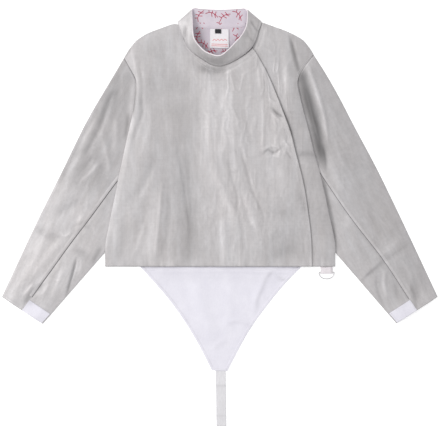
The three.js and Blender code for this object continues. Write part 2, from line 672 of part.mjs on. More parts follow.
// Flat strap on the table: its thickness doubles where an end is turned back on itself.
function makeStrap() {
  const layers = [
    { y: STRAP_TOP_Y, wall: WEBBING },
    { y: STRAP_PANEL_Y, wall: WEBBING },
    { y: STRAP_PANEL_Y - STRAP_STEP, wall: 2 * WEBBING },
    { y: STRAP_SEWN_Y, wall: 2 * WEBBING },
    { y: STRAP_SEWN_Y - STRAP_STEP, wall: WEBBING },
    { y: STRAP_MIDDLE_Y, wall: WEBBING },
    { y: STRAP_TURN_Y + STRAP_STEP, wall: WEBBING },
    { y: STRAP_TURN_Y, wall: 2 * WEBBING },
    { y: STRAP_END_Y, wall: 2 * WEBBING },
  ].reverse();
  const plan = layers.map((layer) => evenShares(2).map((u) => [
    STRAP_CENTRE + (u - 0.5) * STRAP_WIDTH + (STRAP_PANEL_Y - layer.y) * STRAP_LEAN, layer.y]));
  return panel("crotch_strap", plan, () => 0, (i) => layers[i].wall, ELASTIC);
}

// Webbing loop: its two layers lie between the back and the front, and pass round the ring's bar.
function makeRingTab() {
  const tailLow = CLOTH + SEAM;
  const shape = new THREE.Shape();
  shape.moveTo(TAB_TAIL_Y, tailLow + 2 * WEBBING);
  shape.lineTo(TAB_BEND_Y, tailLow + 2 * WEBBING);
  shape.absarc(RING_BAR_Y, RING_BAR_Z, TAB_EYE + WEBBING, TAB_WRAP.from, TAB_WRAP.to, false);
  shape.lineTo(TAB_BEND_Y, tailLow);
  shape.lineTo(TAB_TAIL_Y, tailLow);
  shape.closePath();
  const hole = new THREE.Path();
  hole.absarc(RING_BAR_Y, RING_BAR_Z, TAB_EYE, 0, Math.PI * 2, true);
  shape.holes.push(hole);
  const settings = { depth: TAB_WIDTH, bevelEnabled: false, curveSegments: 10 };
  const geometry = new THREE.ExtrudeGeometry(shape, settings);
  geometry.rotateX(Math.PI / 2).rotateZ(Math.PI / 2);
  geometry.translate(RING_X - TAB_WIDTH / 2, 0, 0);
  return cloth("ring_tab", geometry, WHITE);
}

// D-ring: a straight bar along X and an arc hanging from it, leaning down to the table.
function makeRing() {
  const half = RING_WIDTH / 2 - RING_WIRE;
  const points = evenShares(RING_ARC_STEPS).map((share) => {
    const angle = Math.PI * share;
    const drop = RING_DROP * Math.sin(angle) ** RING_FULLNESS;
    return new THREE.Vector3(half * Math.cos(angle), -drop, 0);
  });
  points.push(new THREE.Vector3(-half + RING_CORNER, 0, 0));
  points.push(new THREE.Vector3(0, 0, 0));
  points.push(new THREE.Vector3(half - RING_CORNER, 0, 0));
  const curve = new THREE.CatmullRomCurve3(points, true, "centripetal");
  const section = new THREE.Shape();
  section.absarc(0, 0, RING_WIRE, 0, Math.PI * 2, false);
  const geometry = new THREE.ExtrudeGeometry(section, { steps: 44, curveSegments: 6, extrudePath: curve });
  const mesh = cloth("d_ring", geometry, STEEL);
  mesh.position.set(RING_X, RING_BAR_Y, RING_BAR_Z);
  mesh.rotation.x = RING_TILT;
  return mesh;
}

export default (() => {
  const group = new THREE.Group();
  group.add(...makeFronts());
  group.add(makeBack());
  group.add(makeSleeve("left"), makeSleeve("right"));
  group.add(...makeCollar());
  group.add(makeBackLining());
  group.add(...LABELS.map(makeLabel));
  group.add(makeCuffPatch("left"), makeCuffPatch("right"));
  group.add(makeCrotchPanel(), makeStrap(), makeRingTab(), makeRing());
  const middle = new THREE.Box3().setFromObject(group).getCenter(new THREE.Vector3());
  group.position.set(-middle.x, -middle.y, 0);
  return group;
})();
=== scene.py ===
import math
from functools import partial

import bmesh
import bpy
import numpy as np
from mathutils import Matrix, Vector
from mathutils.bvhtree import BVHTree


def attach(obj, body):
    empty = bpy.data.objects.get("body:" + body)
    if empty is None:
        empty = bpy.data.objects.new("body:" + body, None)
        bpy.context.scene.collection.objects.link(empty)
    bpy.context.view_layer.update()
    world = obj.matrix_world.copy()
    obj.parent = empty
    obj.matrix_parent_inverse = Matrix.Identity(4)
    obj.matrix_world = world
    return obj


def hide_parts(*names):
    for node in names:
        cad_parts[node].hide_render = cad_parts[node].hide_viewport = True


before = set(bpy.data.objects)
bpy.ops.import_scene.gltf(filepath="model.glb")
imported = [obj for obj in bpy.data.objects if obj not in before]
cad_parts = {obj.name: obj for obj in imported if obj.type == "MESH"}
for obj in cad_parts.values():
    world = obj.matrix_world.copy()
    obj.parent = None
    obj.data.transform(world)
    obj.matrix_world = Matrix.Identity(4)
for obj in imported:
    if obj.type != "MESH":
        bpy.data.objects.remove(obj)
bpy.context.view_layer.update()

MM = 0.001

# Camera straight above the laid jacket: width of the view and its middle in metres, lens and sensor
VIEW_WIDTH, VIEW_CENTRE, LENS, SENSOR = 0.924, (0.0004, 0.0023), 100.0, 36.0
# The table's half width, and how far it lies below the garment, in metres
FLOOR_HALF, FLOOR_GAP = 4.0, 0.0002

# Meshes: points nearer than this are one, edges that bend more are kept, and shading breaks over this angle
WELD, HARD_ANGLE, SHARP_ANGLE = 2e-5, 1.0, math.radians(50)
# Height in metres that things are dropped from onto a surface
DROP_HEIGHT = 0.2

# Materials: where ramps start and end, length of a wave texture's band, and depth of the threads in metres
RAMP_ENDS, WAVE_LENGTH, THREAD_DEPTH = (0.3, 0.7), 0.314, 0.0002

# Body sides: y, x of the edge
LEFT_SIDE = [
    (-103.7, -240.7), (-56.5, -240.7), (2.3, -228.9), (43.5, -220.1), (75.8, -214), (117, -205.4),
    (158.4, -196.4), (196.6, -187.5), (220.7, -181.7), (259.4, -177), (287.9, -174.3), (311.4, -188),
    (334.4, -200.8), (354.4, -189), (370.4, -176),
]
RIGHT_SIDE = [
    (-103.7, 242.1), (-50.8, 241.9), (2.3, 229.3), (43.5, 221.3), (93.5, 209.6), (143.7, 194.9), (173.1, 189),
    (214.4, 177.2), (249.7, 168.4), (282.1, 161.1), (302.6, 168.4), (341.1, 196.4), (354.4, 189),
    (371.9, 174.3),
]
SHOULDER_LINE = [
    (-176, 370.4), (-152.3, 385.2), (-88.8, 408.7), (0, 430), (88.6, 408.7), (141.8, 389.6), (174.3, 371.9),
]
NECK_SEAM = [
    (-88.8, 408.7), (-85, 392.4), (-80.2, 376.4), (-71.2, 353.9), (-56.1, 339.4), (-35.1, 324.8),
    (-20.6, 316), (-3.8, 312.1), (10.9, 314.2), (35.1, 325.2), (56.1, 338.8), (71.2, 352.8), (80.2, 376.4),
    (85, 392.4), (88.6, 408.7),
]
NECK_MIDDLE = (0, 385)
HEM_Y = -103.7
LAP_EDGE = [
    (193.4, -103.7), (191.9, -47.9), (186.1, 2.3), (177.2, 61.1), (168.4, 99.4), (158.1, 137.8), (147.8, 179),
    (135.9, 211.3), (116.8, 261.5), (97.7, 305.6), (71.2, 352.8),
]
LEFT_OUTER = [
    (-200.8, 334.4), (-231.8, 282.1), (-258.3, 238), (-284.8, 190.7), (-329.1, 99.4), (-377.6, 2.3),
    (-457.2, -167.1),
]
LEFT_UNDER = [(-216, 65), (-240.7, -74.3), (-262, -98.6), (-314.2, -158.3), (-351.1, -200.9), (-371.7, -224)]
RIGHT_OUTER = [
    (196.4, 341.1), (206.6, 326.4), (245.1, 261.5), (283.3, 187.8), (324.5, 111.1), (377.6, 2.3),
    (457.2, -167.1),
]
RIGHT_UNDER = [(216, 65), (241.9, -74.3), (262, -97.6), (312, -155.6), (352.6, -202.6), (370.2, -223)]
LEFT_SLEEVE_SEAM = [
    (-208, 84), (-221.3, 67), (-268.6, 2.3), (-315.6, -59.6), (-352.6, -111.1), (-373.2, -139.2),
    (-394, -167.8),
]
RIGHT_SLEEVE_SEAM = [(203, 103), (209.6, 93.5), (271.5, 2.3), (343.8, -92), (396, -171.2)]
LEFT_ARMHOLE = [(-199.6, 332), (-187, 308.6), (-175.4, 290)]
RIGHT_ARMHOLE = [(195, 338.6), (168.8, 304), (162, 284)]

# Collar as a ring, front from left to right, then the back: base and top edge points
COLLAR_RING = [
    ((-88.4, 408.8, 5.4), (-58.8, 435, 6.6)), ((-83.4, 393.4, 6.2), (-58.2, 413.4, 15)),
    ((-78.2, 377.4, 6.6), (-57.3, 392.4, 21)), ((-68.2, 356, 6.6), (-54.6, 372.4, 24)),
    ((-54, 342.4, 6.4), (-45, 357, 25)), ((-34, 328.8, 6.2), (-30, 343.4, 26)),
    ((-19.6, 319.8, 6), (-18, 338.2, 25.8)), ((-3.6, 316, 6), (-6, 335.4, 25)),
    ((10, 318, 6.2), (4, 336.8, 24.4)), ((33.4, 328.8, 7.4), (16, 346.4, 23.4)),
    ((53.4, 342, 8.8), (29, 359.4, 22.4)), ((67.6, 355.4, 9.4), (39.4, 370.8, 21.6)),
    ((77, 374, 8), (49, 383.4, 19)), ((82.4, 392.4, 6.8), (56.4, 401.4, 14)),
    ((88, 408.8, 5.4), (57.8, 434.2, 6.6)), ((84, 412.4, 0.5), (54.6, 437.8, 0.7)),
    ((60, 405, 0), (40, 436.6, 0)), ((0, 399.4, 0), (0, 434.8, 0)), ((-60, 405, 0), (-40, 436.6, 0)),
    ((-84.4, 412.4, 0.5), (-55.4, 438.6, 0.7)),
]

# Folds: half width on the left and right, height (below 0 sinks), strength of the painted light and shade along
# the fold (above 0 a painted highlight, below 0 painted shade), then X and Y of the points that the fold runs
# through.
# Rows of no height are bands of painted light and shade alone.
BODY_FOLDS = [
    (30, 24, -1.8, -0.1, -77, 305, -73, 204, -75, 109, -67, 25, -63, -103),
    (16, 16, -0.6, -0.08, -63, 25, -63, -103),
    (3.5, 3.5, -0.9, -0.1, -90, 166, -86, 120, -77, 86, -75, 36, -67, -10),
    (3.5, 3.5, -0.7, -0.07, -69, 141, -67, 99, -63, 36, -63, -48),
    (1.8, 1.8, -0.5, -0.09, -86, 120, -81, 84, -71, 36, -67, -10, -65, -65),
    (8, 22, 1, 0.06, -8, 292, -18, 225, -25, 162, -16, 107), (24, 26, 0.4, 0.12, 5, 280, 3, 204, -6, 116),
    (14, 16, -0.3, -0.05, 57, 292, 55, 214, 63, 141), (7, 7, 0.8, 0.09, 24, 305, 26, 225, 34, 137),
    (4, 4, -0.6, -0.06, 5, 221, -2, 141), (8, 9, 1.4, 0.13, -16, 112, 5, 57, 26, 11, 36, -23),
    (8, 8, 0.8, 0.09, 5, 36, 7, -38, 11, -98), (3, 3.5, -1, -0.12, 42, 145, 55, 103, 68, 57, 89, 7, 89, -40),
    (6, 5, 1.2, 0.14, 53, 61, 63, 15, 82, -40), (4, 4, -0.9, -0.09, 13, 133, 24, 88, 36, 44, 34, -10),
    (8, 8, -0.8, -0.08, 42, 11, 49, -48, 55, -98),
    (9, 16, 1.3, 0.1, -132, 65, -132, 23, -140, -35, -149, -98),
    (8, 7, -0.8, -0.08, -109, 86, -109, 15, -117, -44, -126, -98),
    (2.4, 3, 1, 0.12, -121, 74, -126, 19, -132, -44, -140, -98),
    (4, 2.2, -0.5, -0.07, -115, 70, -119, 15, -126, -48, -132, -98),
    (7, 8, -1, -0.06, -105, 57, -109, -17, -119, -94), (5, 5, 0.9, 0.07, -147, 11, -165, -44, -186, -94),
    (11, 10, -1.4, -0.116, -126, 145, -144, 103, -163, 65, -186, 32),
    (8, 8, 0.8, 0.04, -130, 112, -147, 70, -168, 28),
    (6, 5, -1.4, -0.15, -168, 263, -163, 221, -176, 183, -186, 145),
    (9, 7, 0.8, 0.06, -142, 246, -147, 183, -165, 124),
    (4, 6, 0.7, 0.12, -182, 351, -176, 301, -174, 250, -182, 191),
    (4, 4, -0.8, -0.08, -168, 326, -163, 256, -170, 221),
    (4, 5, 0.5, 0.1, -180, 200, -193, 141, -205, 78, -222, 2, -233, -48),
    (5, 5, 0.8, 0.08, -218, -10, -224, -94), (6, 6, -0.8, -0.07, -199, 4, -205, -94),
    (2.4, 2.4, -1.3, -0.4, 110, 229, 118, 219, 133, 208), (3, 3, 1.2, 0.14, 105, 221, 118, 208, 129, 196),
    (4, 4, 0.8, 0.08, 101, 250, 122, 233), (2.4, 2.4, -1.2, -0.3, 89, 130, 101, 141, 114, 135, 131, 147),
    (2.6, 2.6, 1.1, 0.12, 91, 139, 105, 149, 122, 147), (2.6, 2.6, 0.9, 0.1, 97, 124, 110, 128, 126, 124),
    (3, 3, 1, 0.14, 133, 162, 145, 145), (2, 2, -0.9, -0.12, 105, 151, 112, 139, 108, 124),
    (2, 2, 0.9, 0.12, 120, 154, 126, 139, 122, 124), (2.4, 2.4, -0.8, -0.1, 135, 187, 141, 166, 137, 149),
    (2.4, 2.4, -0.8, -0.1, 139, 139, 152, 120), (5, 5, 0.4, 0.08, 181, -40, 185, -98),
    (2.4, 2.4, 0.8, 0.1, 110, 212, 118, 191, 114, 175), (3, 3, 0.7, 0.07, 89, 263, 91, 204, 89, 120),
    (4, 4, 0.8, 0.1, 80, 317, 87, 267), (12, 12, 0.8, 0.05, 101, 95, 137, 86),
    (14, 14, -0.9, -0.08, 97, 25, 126, 7, 168, 15), (14, 14, -0.8, -0.08, 93, -94, 137, -69, 168, -59),
    (8, 6, -0.8, -0.1, 168, 57, 181, 4), (9, 9, 1, 0.1, 166, 179, 194, 177),
    (6, 6, -1.5, -0.18, 164, 130, 185, 133, 206, 126), (4, 4, 1.1, 0.06, 166, 114, 206, 107),
    (4.4, 3.6, -2.4, -0.4, 147, 380, 156, 343, 168, 296), (8, 7, 1.3, 0.08, 135, 368, 139, 317, 147, 254),
    (9, 9, -0.6, -0.12, -25, 309, -46, 317, -63, 334), (4, 4, 0.7, 0.1, 5, 298, 26, 309, 49, 324),
    (40, 30, 0, -0.08, -92, 246, -84, 36, -77, -103), (26, 26, 0, -0.036, -147, 309, -147, 141, -168, -94),
    (36, 34, 0, -0.11, -155, 380, -126, 330, -117, 246), (7, 7, 0, -0.3, -180, 317, -180, 208),
    (7, 7, 0, -0.08, -205, 141, -226, -6, -235, -94), (3, 3, 0, -0.32, -186, 359, -199, 334),
    (3.5, 3.5, 0, -0.26, -174, 284, -178, 246, -184, 204), (9, 9, -0.5, -0.3, -42, 313, -14, 307, 15, 311),
    (9, 9, 0, -0.06, 63, 305, 80, 326, 93, 343), (30, 34, 0, -0.1, 118, -19, 135, -94),
    (4, 5, 0, -0.1, 133, 229, 141, 204, 150, 170), (9, 8, 0, -0.076, -48, 271, -44, 193, -37, 124),
    (3, 6, 0.6, 0.05, -21, 280, -23, 204, -21, 137), (100, 60, 0, -0.12, 181, 393, 181, -103),
]
LEFT_SLEEVE_FOLDS = [
    (6, 8, -2, -0.234, -226, 263, -241, 221, -254, 183),
    (7, 8, -1.5, -0.144, -252, 191, -268, 158, -287, 128), (4, 4, 1, 0.09, -260, 208, -277, 175, -294, 149),
    (5, 5, -0.7, -0.063, -264, 128, -289, 95), (4, 4, 1, 0.108, -247, 120, -268, 95, -294, 70),
    (4, 5, 1, 0.108, -243, 162, -235, 128, -231, 95), (9, 9, 0, -0.126, -222, 280, -222, 183),
    (5, 6, 1, 0.234, -182, 292, -184, 254, -189, 212), (3, 4, -0.8, -0.252, -191, 221, -195, 191, -199, 162),
    (12, 10, -0.8, -0.09, -210, 305, -218, 246), (8, 8, 1.8, 0.099, -214, 221, -216, 162, -212, 120),
    (10, 9, 0.9, 0.054, -252, 221, -283, 151, -323, 78), (11, 10, -1.3, -0.162, -344, 2, -319, 19, -289, 36),
    (9, 9, -1.4, -0.162, -390, -19, -361, -38, -327, -50),
    (8, 9, 1.6, 0.09, -323, -40, -361, -86, -403, -136), (7, 7, 0.9, 0.072, -352, -10, -378, -73, -415, -140),
    (6, 6, 1.3, 0.126, -285, 7, -302, -31), (8, 8, -1.3, -0.144, -306, -65, -285, -77, -268, -94),
    (4, 5, -0.6, -0.252, -247, -61, -268, -98), (6, 6, -2.4, -0.36, -369, -140, -392, -161, -411, -187),
    (5, 5, 0, -0.18, -382, -161, -399, -187), (4, 4, 1.6, 0.108, -390, -140, -411, -166),
    (4, 4, 1, 0.072, -357, -140, -373, -166), (2.4, 3.4, -2.4, -0.468, -300, -86, -308, -119, -323, -166),
    (5, 5, 1.4, 0.09, -287, -94, -298, -132, -315, -166),
    (5, 5, 1.2, 0.081, -327, -107, -340, -143, -352, -174),
    (8, 8, -0.8, -0.072, -256, 141, -247, 99, -252, 65), (90, 90, 0, 0.054, -315, 57, -420, -195),
    (5, 6, -0.9, -0.108, -310, -23, -285, -14, -264, -31),
    (3, 3, 0.9, 0.108, -336, -31, -323, -40, -310, -31), (90, 90, 0, -0.189, -199, 351, -315, 57),
]
RIGHT_SLEEVE_FOLDS = [
    (13, 12, -2.2, -0.459, 164, 322, 177, 275, 187, 238, 200, 196, 208, 154, 219, 103),
    (13, 14, -0.6, -0.135, 181, 271, 192, 229, 204, 179, 215, 120),
    (4, 6, 2.2, 0.135, 181, 330, 196, 288, 210, 246, 221, 200, 227, 151),
    (2.2, 2.2, 0.7, 0.12, 181, 263, 189, 229, 200, 187, 208, 154),
    (3, 3, -0.8, -0.15, 217, 149, 221, 124, 223, 95), (5, 5, 1, 0.09, 177, 322, 183, 301),
    (3.5, 4, -0.8, -0.33, 215, 91, 227, 36, 238, -17, 244, -65),
    (8, 8, 1.2, 0.053, 231, 141, 240, 99, 257, 57), (16, 16, -1, -0.045, 263, 141, 305, 46, 347, -48),
    (10, 10, 1, 0.068, 273, 7, 263, -31), (7, 8, 1.6, 0.068, 395, -31, 362, -61, 328, -86),
    (5, 3, -1.2, -0.09, 406, -48, 370, -75, 336, -98, 297, -134),
    (6, 3, -0.9, -0.105, 349, -92, 320, -115, 294, -134),
    (5, 5, -1.4, -0.18, 402, -140, 410, -170, 414, -195), (5, 5, 1.9, 0.128, 345, -111, 345, -143, 351, -174),
    (3.5, 3.5, -1.2, -0.105, 328, -124, 332, -157, 345, -191), (5, 5, -0.8, -0.075, 368, -132, 374, -170),
    (7, 7, -1.2, -0.105, 406, -122, 414, -153, 420, -178), (6, 6, 0.8, 0.045, 429, -94, 441, -143),
    (5, 5, 0.8, 0.045, 389, -94, 404, -132), (130, 130, 0, -0.12, 189, 330, 420, -174),
]
CROTCH_FOLDS = [
    (5, 7, 2.4, -0.05, 99, -113, 89, -143, 76, -174, 74, -199), (3, 3, 1.6, -0.12, 110, -111, 99, -126),
    (3, 4, 2, -0.09, 114, -122, 133, -130, 150, -122), (5, 5, 2, -0.03, 13, -220, 42, -218, 72, -231),
    (3, 3, 0.6, -0.06, -147, -117, 0, -115, 152, -119), (12, 12, 0, -0.04, -147, -124, 0, -126, 147, -128),
    (6, 6, 1, -0.03, -16, -279, -2, -266, 17, -258), (16, 13, 1.6, 0.01, -58, -128, -33, -195, -14, -262),
    (8, 8, 1.2, 0, -147, -124, -126, -153, -92, -199), (12, 14, 1.2, 0.01, 21, -132, 19, -185, 11, -248),
]
COLLAR_FOLDS = [
    (3.4, 3.4, -1.5, -0.18, -94, 410, -92, 380, -81, 351),
    (2.6, 2.8, -2.2, -0.288, -73, 401, -75, 380, -77, 355), (2.8, 2.8, -1.5, -0.18, -81, 376, -73, 343),
    (2.4, 2.4, 1.2, 0.072, -88, 406, -84, 380, -77, 364), (3, 3, 0.8, 0.072, -102, 397, -98, 372),
    (2.4, 2.4, 0.9, 0.09, -84, 406, -81, 372, -73, 347), (3.4, 3.4, 1.4, 0.054, -65, 406, -65, 361, -50, 330),
    (4, 4, 0.9, 0.054, -42, 351, -21, 334, 5, 332), (3, 3, -1.6, -0.234, 66, 412, 74, 399, 82, 385),
    (3, 3, -0.9, -0.108, 57, 393, 63, 376, 76, 364), (8, 8, 0, 0.09, 70, 406, 76, 385),
    (4, 4, 0.8, 0.09, 55, 406, 63, 380, 59, 359), (5, 5, 0.5, 0.036, 42, 347, 26, 330, 5, 322),
    (9, 9, -0.5, -0.162, -46, 334, -16, 322, 13, 326),
]

# Sewing. A strip ends where the surface under it steps by more than this
LARGEST_STEP = 2.2
# Stitches: pitch, length and half thickness
WIDE_STITCH = (3.2, 2.2, 0.32)
CLOSE_STITCH = (2.6, 1.9, 0.32)
LABEL_STITCH = (2.6, 1.8, 0.22)
PATCH_STITCH = (2.8, 2.0, 0.32)
# A stitch's form: share of its length, share of its thickness, and height over the cloth
STITCH_FORM, STITCH_SIDES = [(0, 0.5, -0.1), (0.2, 1, 0.14), (0.8, 1, 0.14), (1, 0.5, -0.1)], 5
# Sections of strips: loops of sideways offsets and heights
FELLED_SEAM = [(0, -0.3), (0, 0.3), (0.6, 0.5), (5, 0.45), (6, 0.1), (6, -0.3)]
PRESSED_SEAM = [(-1.2, -0.3), (-1.2, 0.1), (1, 0.25), (2.8, 0.1), (2.8, -0.3)]
TURNED_EDGE = [(0.4, -0.3), (0.4, 0.3), (1.2, 0.5), (5, 0.45), (5.8, 0.1), (5.8, -0.3)]
POINT_BAND = [(-3, -0.3), (-3, 0.5), (-2, 0.8), (2, 0.8), (3, 0.5), (3, -0.3)]
NECK_TAPE = [(-4, -0.4), (-4, 0.2), (-3, 0.5), (3, 0.5), (4, 0.2), (4, -0.4)]
# A dark strip in a sleeve seam, a painted shadow of the seam's ditch
SEAM_SHADOW_STRIP = [(-0.75, -0.3), (-0.75, 0.06), (0, 0.1), (0.75, 0.06), (0.75, -0.3)]
PRINT, PRINT_STEP = [(-0.7, -0.15), (-0.7, 0.1), (0.7, 0.1), (0.7, -0.15)], 1.2
PIPING_HALF, PIPING_SIDES = (1.45, 1), 10
# A sleeve's seam lies this far beside its ditch
SEAM_SHIFT = 0.8
HEM_STITCHES = [[(x, HEM_Y + 3.4) for x in row] for row in ((-237, 0, 190), (194, 239))]
LEFT_CUFF, RIGHT_CUFF = [(-454, -168.4), (-375, -219.6)], [(454, -168.4), (373.4, -218.8)]
NECK_TAPE_LINE = [(-66, 404.6), (-40, 401.6), (0, 400), (40, 401.6), (66, 404.6)]
LABEL_LINES = [[(-17.6, 359.5), (16.6, 358.4)], [(-17.4, 363), (16.4, 362)]]
LABEL_SEWING = [[(-20, 356.8), (18.6, 355.4)], [(-19.2, 393), (17.8, 392)], [(-19.8, 357), (-19, 393)],
                [(18.4, 355.6), (17.6, 392)]]
CROTCH_LEFT = [(-172, -99), (-103.5, -176.6), (-52.1, -253.9), (-16.8, -321.3)]
CROTCH_RIGHT = [(177, -99), (140.7, -134.8), (95.8, -189.6), (63.6, -234.5), (34.7, -286), (15.5, -323)]
CROTCH_POINT = [(-15, -318.6), (14, -319.6)]
CROTCH_TOP_ROW = [(-158, -112), (0, -111), (160, -112)]
POINT_ROWS = [[(-13.4, -317), (12.4, -318)], [(-13, -320.4), (12, -321.4)]]
# Rows across the strap and the webbing: left and right end, heights on the garment
STRAP_ROWS = [(-7.4, 9.4, (-329, -346.6)), (-6, 10.6, (-423, -434)), (213.4, 234.4, (-106.6, -109.4))]
# Ways to a cuff patch's corners, for the sleeve on the left and on the right
PATCH_CORNERS = {-1: ((-0.35, 1), (1, 0.35), (0.35, -1), (-1, -0.35)),
                 1: ((-1, 0.35), (0.35, 1), (1, -0.35), (-0.35, -1))}
# The print's sprig: a curved stem with short side strokes
SPRIG = [
    [(-12, -3), (-5, 1.5), (3, 1.5), (12, -2.5)], [(-6, 1), (-9, 6.5)], [(0, 1.8), (-2, 8)],
    [(6, 0.6), (5.4, 6.6)], [(-2, 1.8), (1.4, -5)], [(4, 1.3), (8, -4.6)],
]
# Centre of each sprig, its turn in degrees and its size
SPRIGS = [
    (-42, 423, 62, 1.1), (-16, 426, -18, 1.15), (10, 421, 34, 1.1), (38, 424, -48, 1.15),
    (-38, 400, 12, 1.1), (36, 398, 28, 1.05), (-46, 379, 80, 1.0), (-34, 362, -30, 1.05),
    (36, 374, -62, 1.0), (-16, 347, 20, 0.9), (12, 346, -12, 0.8), (0, 403, -52, 0.7),
]

# A sleeve by its side in X: outer and under edge, seam, folds, the body's side, seed
SLEEVES = {-1: (LEFT_OUTER, LEFT_UNDER, LEFT_SLEEVE_SEAM, LEFT_SLEEVE_FOLDS, LEFT_SIDE, 41),
           1: (RIGHT_OUTER, RIGHT_UNDER, RIGHT_SLEEVE_SEAM, RIGHT_SLEEVE_FOLDS, RIGHT_SIDE, 51)}
# Below this the sleeves hang free of the body
SLEEVE_FREE_Y = -74
# Where the closure's edge stands off the side front: y, how far
LAP_LOFT = [(-104, 0.2), (20, 0.5), (100, 1.2), (150, 2.2), (200, 2.4), (240, 1.6), (300, 0.8), (353, 0)]
# Painted shadow of the closure's edge on the side front: y, how dark it is
LAP_SHADE = [(-104, -0.12), (20, -0.16), (90, -0.2), (130, -0.34), (190, -0.4), (230, -0.28), (353, -0.2)]

# Waves in the cloth between its folds: height, width and length of a wave, seed
BODY_WAVES = [(0.16, (17, 90), 11), (0.1, (9, 45), 12)]
# Crinkles of the fronts: height at the sides, height added in the middle, width and length, seed
BODY_CRINKLES = [(0.1, 0.68, (12, 40), 21), (0.12, 0.45, (22, 28), 22)]
CRINKLED_X, CRINKLED_WIDTH = 60, 100
HEM_RIPPLES = (6, 60), 5
BODY_LOFT, SLEEVE_LOFT, CROTCH_LOFT = 0.8, 1.2, 0.3
# How far the cloth may sink below its solid, and how softly it stops there
BODY_LOWEST, SLEEVE_LOWEST, FLOOR_BEND = -0.55, -1.4, 0.5
SLEEVE_LEAN = math.radians(26)
# A sleeve's upper layer starts at this height, and moves in full this much higher
LAYER_START, LAYER_STEP = 1.3, 0.6
# How far the fronts' neck edge goes in under the collar, and how wide the cloth is that goes with it
NECK_REACH, NECK_BAND = 3.2, 8


def smooth(value):
    """0 below 0, 1 above 1, and a soft step between."""
    value = np.clip(value, 0, 1)
    return value * value * (3 - 2 * value)


def bell(distance, width):
    """1 on a line, and less to both sides of it."""
    return np.exp(-(distance / width) ** 2)


def looked_up(values, table):
    """Values read from a table of pairs."""
    return np.interp(values, *np.transpose(table))


def lattice_noise(points, cell, seed):
    """Smooth noise from -1 to 1 at points in the plane, in cells of a given width and length."""
    scaled = points / np.asarray(cell)
    low = np.floor(scaled).astype(np.int64)
    share = smooth(scaled - low)

    def value(i, j):
        """The lattice's own number at a corner, by a hash with large primes."""
        mixed = (i * 73856093) ^ (j * 19349663) ^ (seed * 83492791)
        mixed = (mixed ^ (mixed >> 13)) * 1274126177
        return ((mixed ^ (mixed >> 16)) & 0xFFFF) / 32767.5 - 1

    i, j = low.T
    near = value(i, j) * (1 - share[:, 0]) + value(i + 1, j) * share[:, 0]
    far = value(i, j + 1) * (1 - share[:, 0]) + value(i + 1, j + 1) * share[:, 0]
    return near * (1 - share[:, 1]) + far * share[:, 1]


def crinkle(points, cell, seed):
    """Narrow wandering ridges, as in crushed foil: 0 to 1."""
    wander = points + np.stack([4 * lattice_noise(points, (22, 30), seed + 7),
                                9 * lattice_noise(points, (30, 26), seed + 8)], axis=1)
    return np.clip(1 - 2.6 * np.abs(lattice_noise(wander, cell, seed)), 0, 1) ** 1.5


def curve_through(corners, pieces=10, closed=False):
    """A smooth curve through points."""
    corners = np.asarray(corners, float)
    if closed:
        padded = np.vstack([corners[-1:], corners, corners[:2]])
    elif len(corners) < 3:
        return corners
    else:
        padded = np.vstack([2 * corners[0] - corners[1], corners, 2 * corners[-1] - corners[-2]])
    rows = []
    for a, b, c, d in zip(padded, padded[1:], padded[2:], padded[3:]):
        before, here, after = (math.sqrt(np.linalg.norm(q - p)) for p, q in ((a, b), (b, c), (c, d)))
        leave = ((b - a) / before - (c - a) / (before + here) + (c - b) / here) * here
        arrive = ((c - b) / here - (d - b) / (here + after) + (d - c) / after) * here
        for t in np.linspace(0, 1, pieces, endpoint=False):
            rows.append(b + leave * t + (3 * (c - b) - 2 * leave - arrive) * t ** 2
                        + (2 * (b - c) + leave + arrive) * t ** 3)
    if not closed:
        rows.append(corners[-1])
    return np.asarray(rows)


def spaced(line, step):
    """Points along a line, as near the step apart as fits."""
    line = np.asarray(line, float)
    lengths = np.concatenate([[0], np.cumsum(np.linalg.norm(np.diff(line, axis=0), axis=1))])
    places = np.linspace(0, lengths[-1], max(2, round(lengths[-1] / step) + 1))
    return np.stack([np.interp(places, lengths, line[:, axis]) for axis in range(line.shape[1])], axis=1)


def unit(rows):
    """Directions of length 1."""
    return rows / np.linalg.norm(rows, axis=1, keepdims=True)


def offset_line(line, distance):
    """The line moved sideways, to its right where the distance is above 0."""
    line = np.asarray(line, float)
    run = unit(np.gradient(line, axis=0))
    return line + distance * np.stack([run[:, 1], -run[:, 0]], axis=1)


def measure(points, line):
    """Each point's distance from a line, above 0 on its right, its place along it, and the line's length."""
    line = np.asarray(line, float)
    best = np.full(len(points), np.inf)
    signed = np.zeros(len(points))
    along = np.zeros(len(points))
    done = 0.0
    for start, end in zip(line, line[1:]):
        run = end - start
        length = np.hypot(*run)
        offset = points - start
        share = np.clip(offset @ run / length ** 2, 0, 1)
        distance = np.hypot(*(offset - share[:, None] * run).T)
        side = np.sign(run[1] * offset[:, 0] - run[0] * offset[:, 1])
        nearer = distance < best
        best = np.where(nearer, distance, best)
        signed = np.where(nearer, side * distance, signed)
        before_start = np.minimum(offset @ run / length, 0)
        along = np.where(nearer, done + np.where(share <= 0, before_start, share * length), along)
        done += length
    return signed, along, done


def beside(points, line):
    """Distance of each point from a line, on either side."""
    return np.abs(measure(points, line)[0])


def fold_sums(points, folds):
    """Heights and painted light and shade of the folds at each point. A fold fades across itself and at both
    ends.
    """
    height = np.zeros(len(points))
    shade = np.zeros(len(points))
    for left, right, rise, painted_strength, *places in folds:
        signed, along, length = measure(points, curve_through(np.reshape(places, (-1, 2)), 6))
        fade = min(length * 0.4, 45)
        ends = smooth((along + fade * 0.3) / fade) * smooth((length + fade * 0.3 - along) / fade)
        profile = ends * bell(signed, np.where(signed < 0, left, right))
        height += rise * profile
        shade += painted_strength * profile
    return height, shade


def soft_floor(value, lowest):
    """The value, with a soft stop at the lowest."""
    return lowest + FLOOR_BEND * np.logaddexp(0, (value - lowest) / FLOOR_BEND)


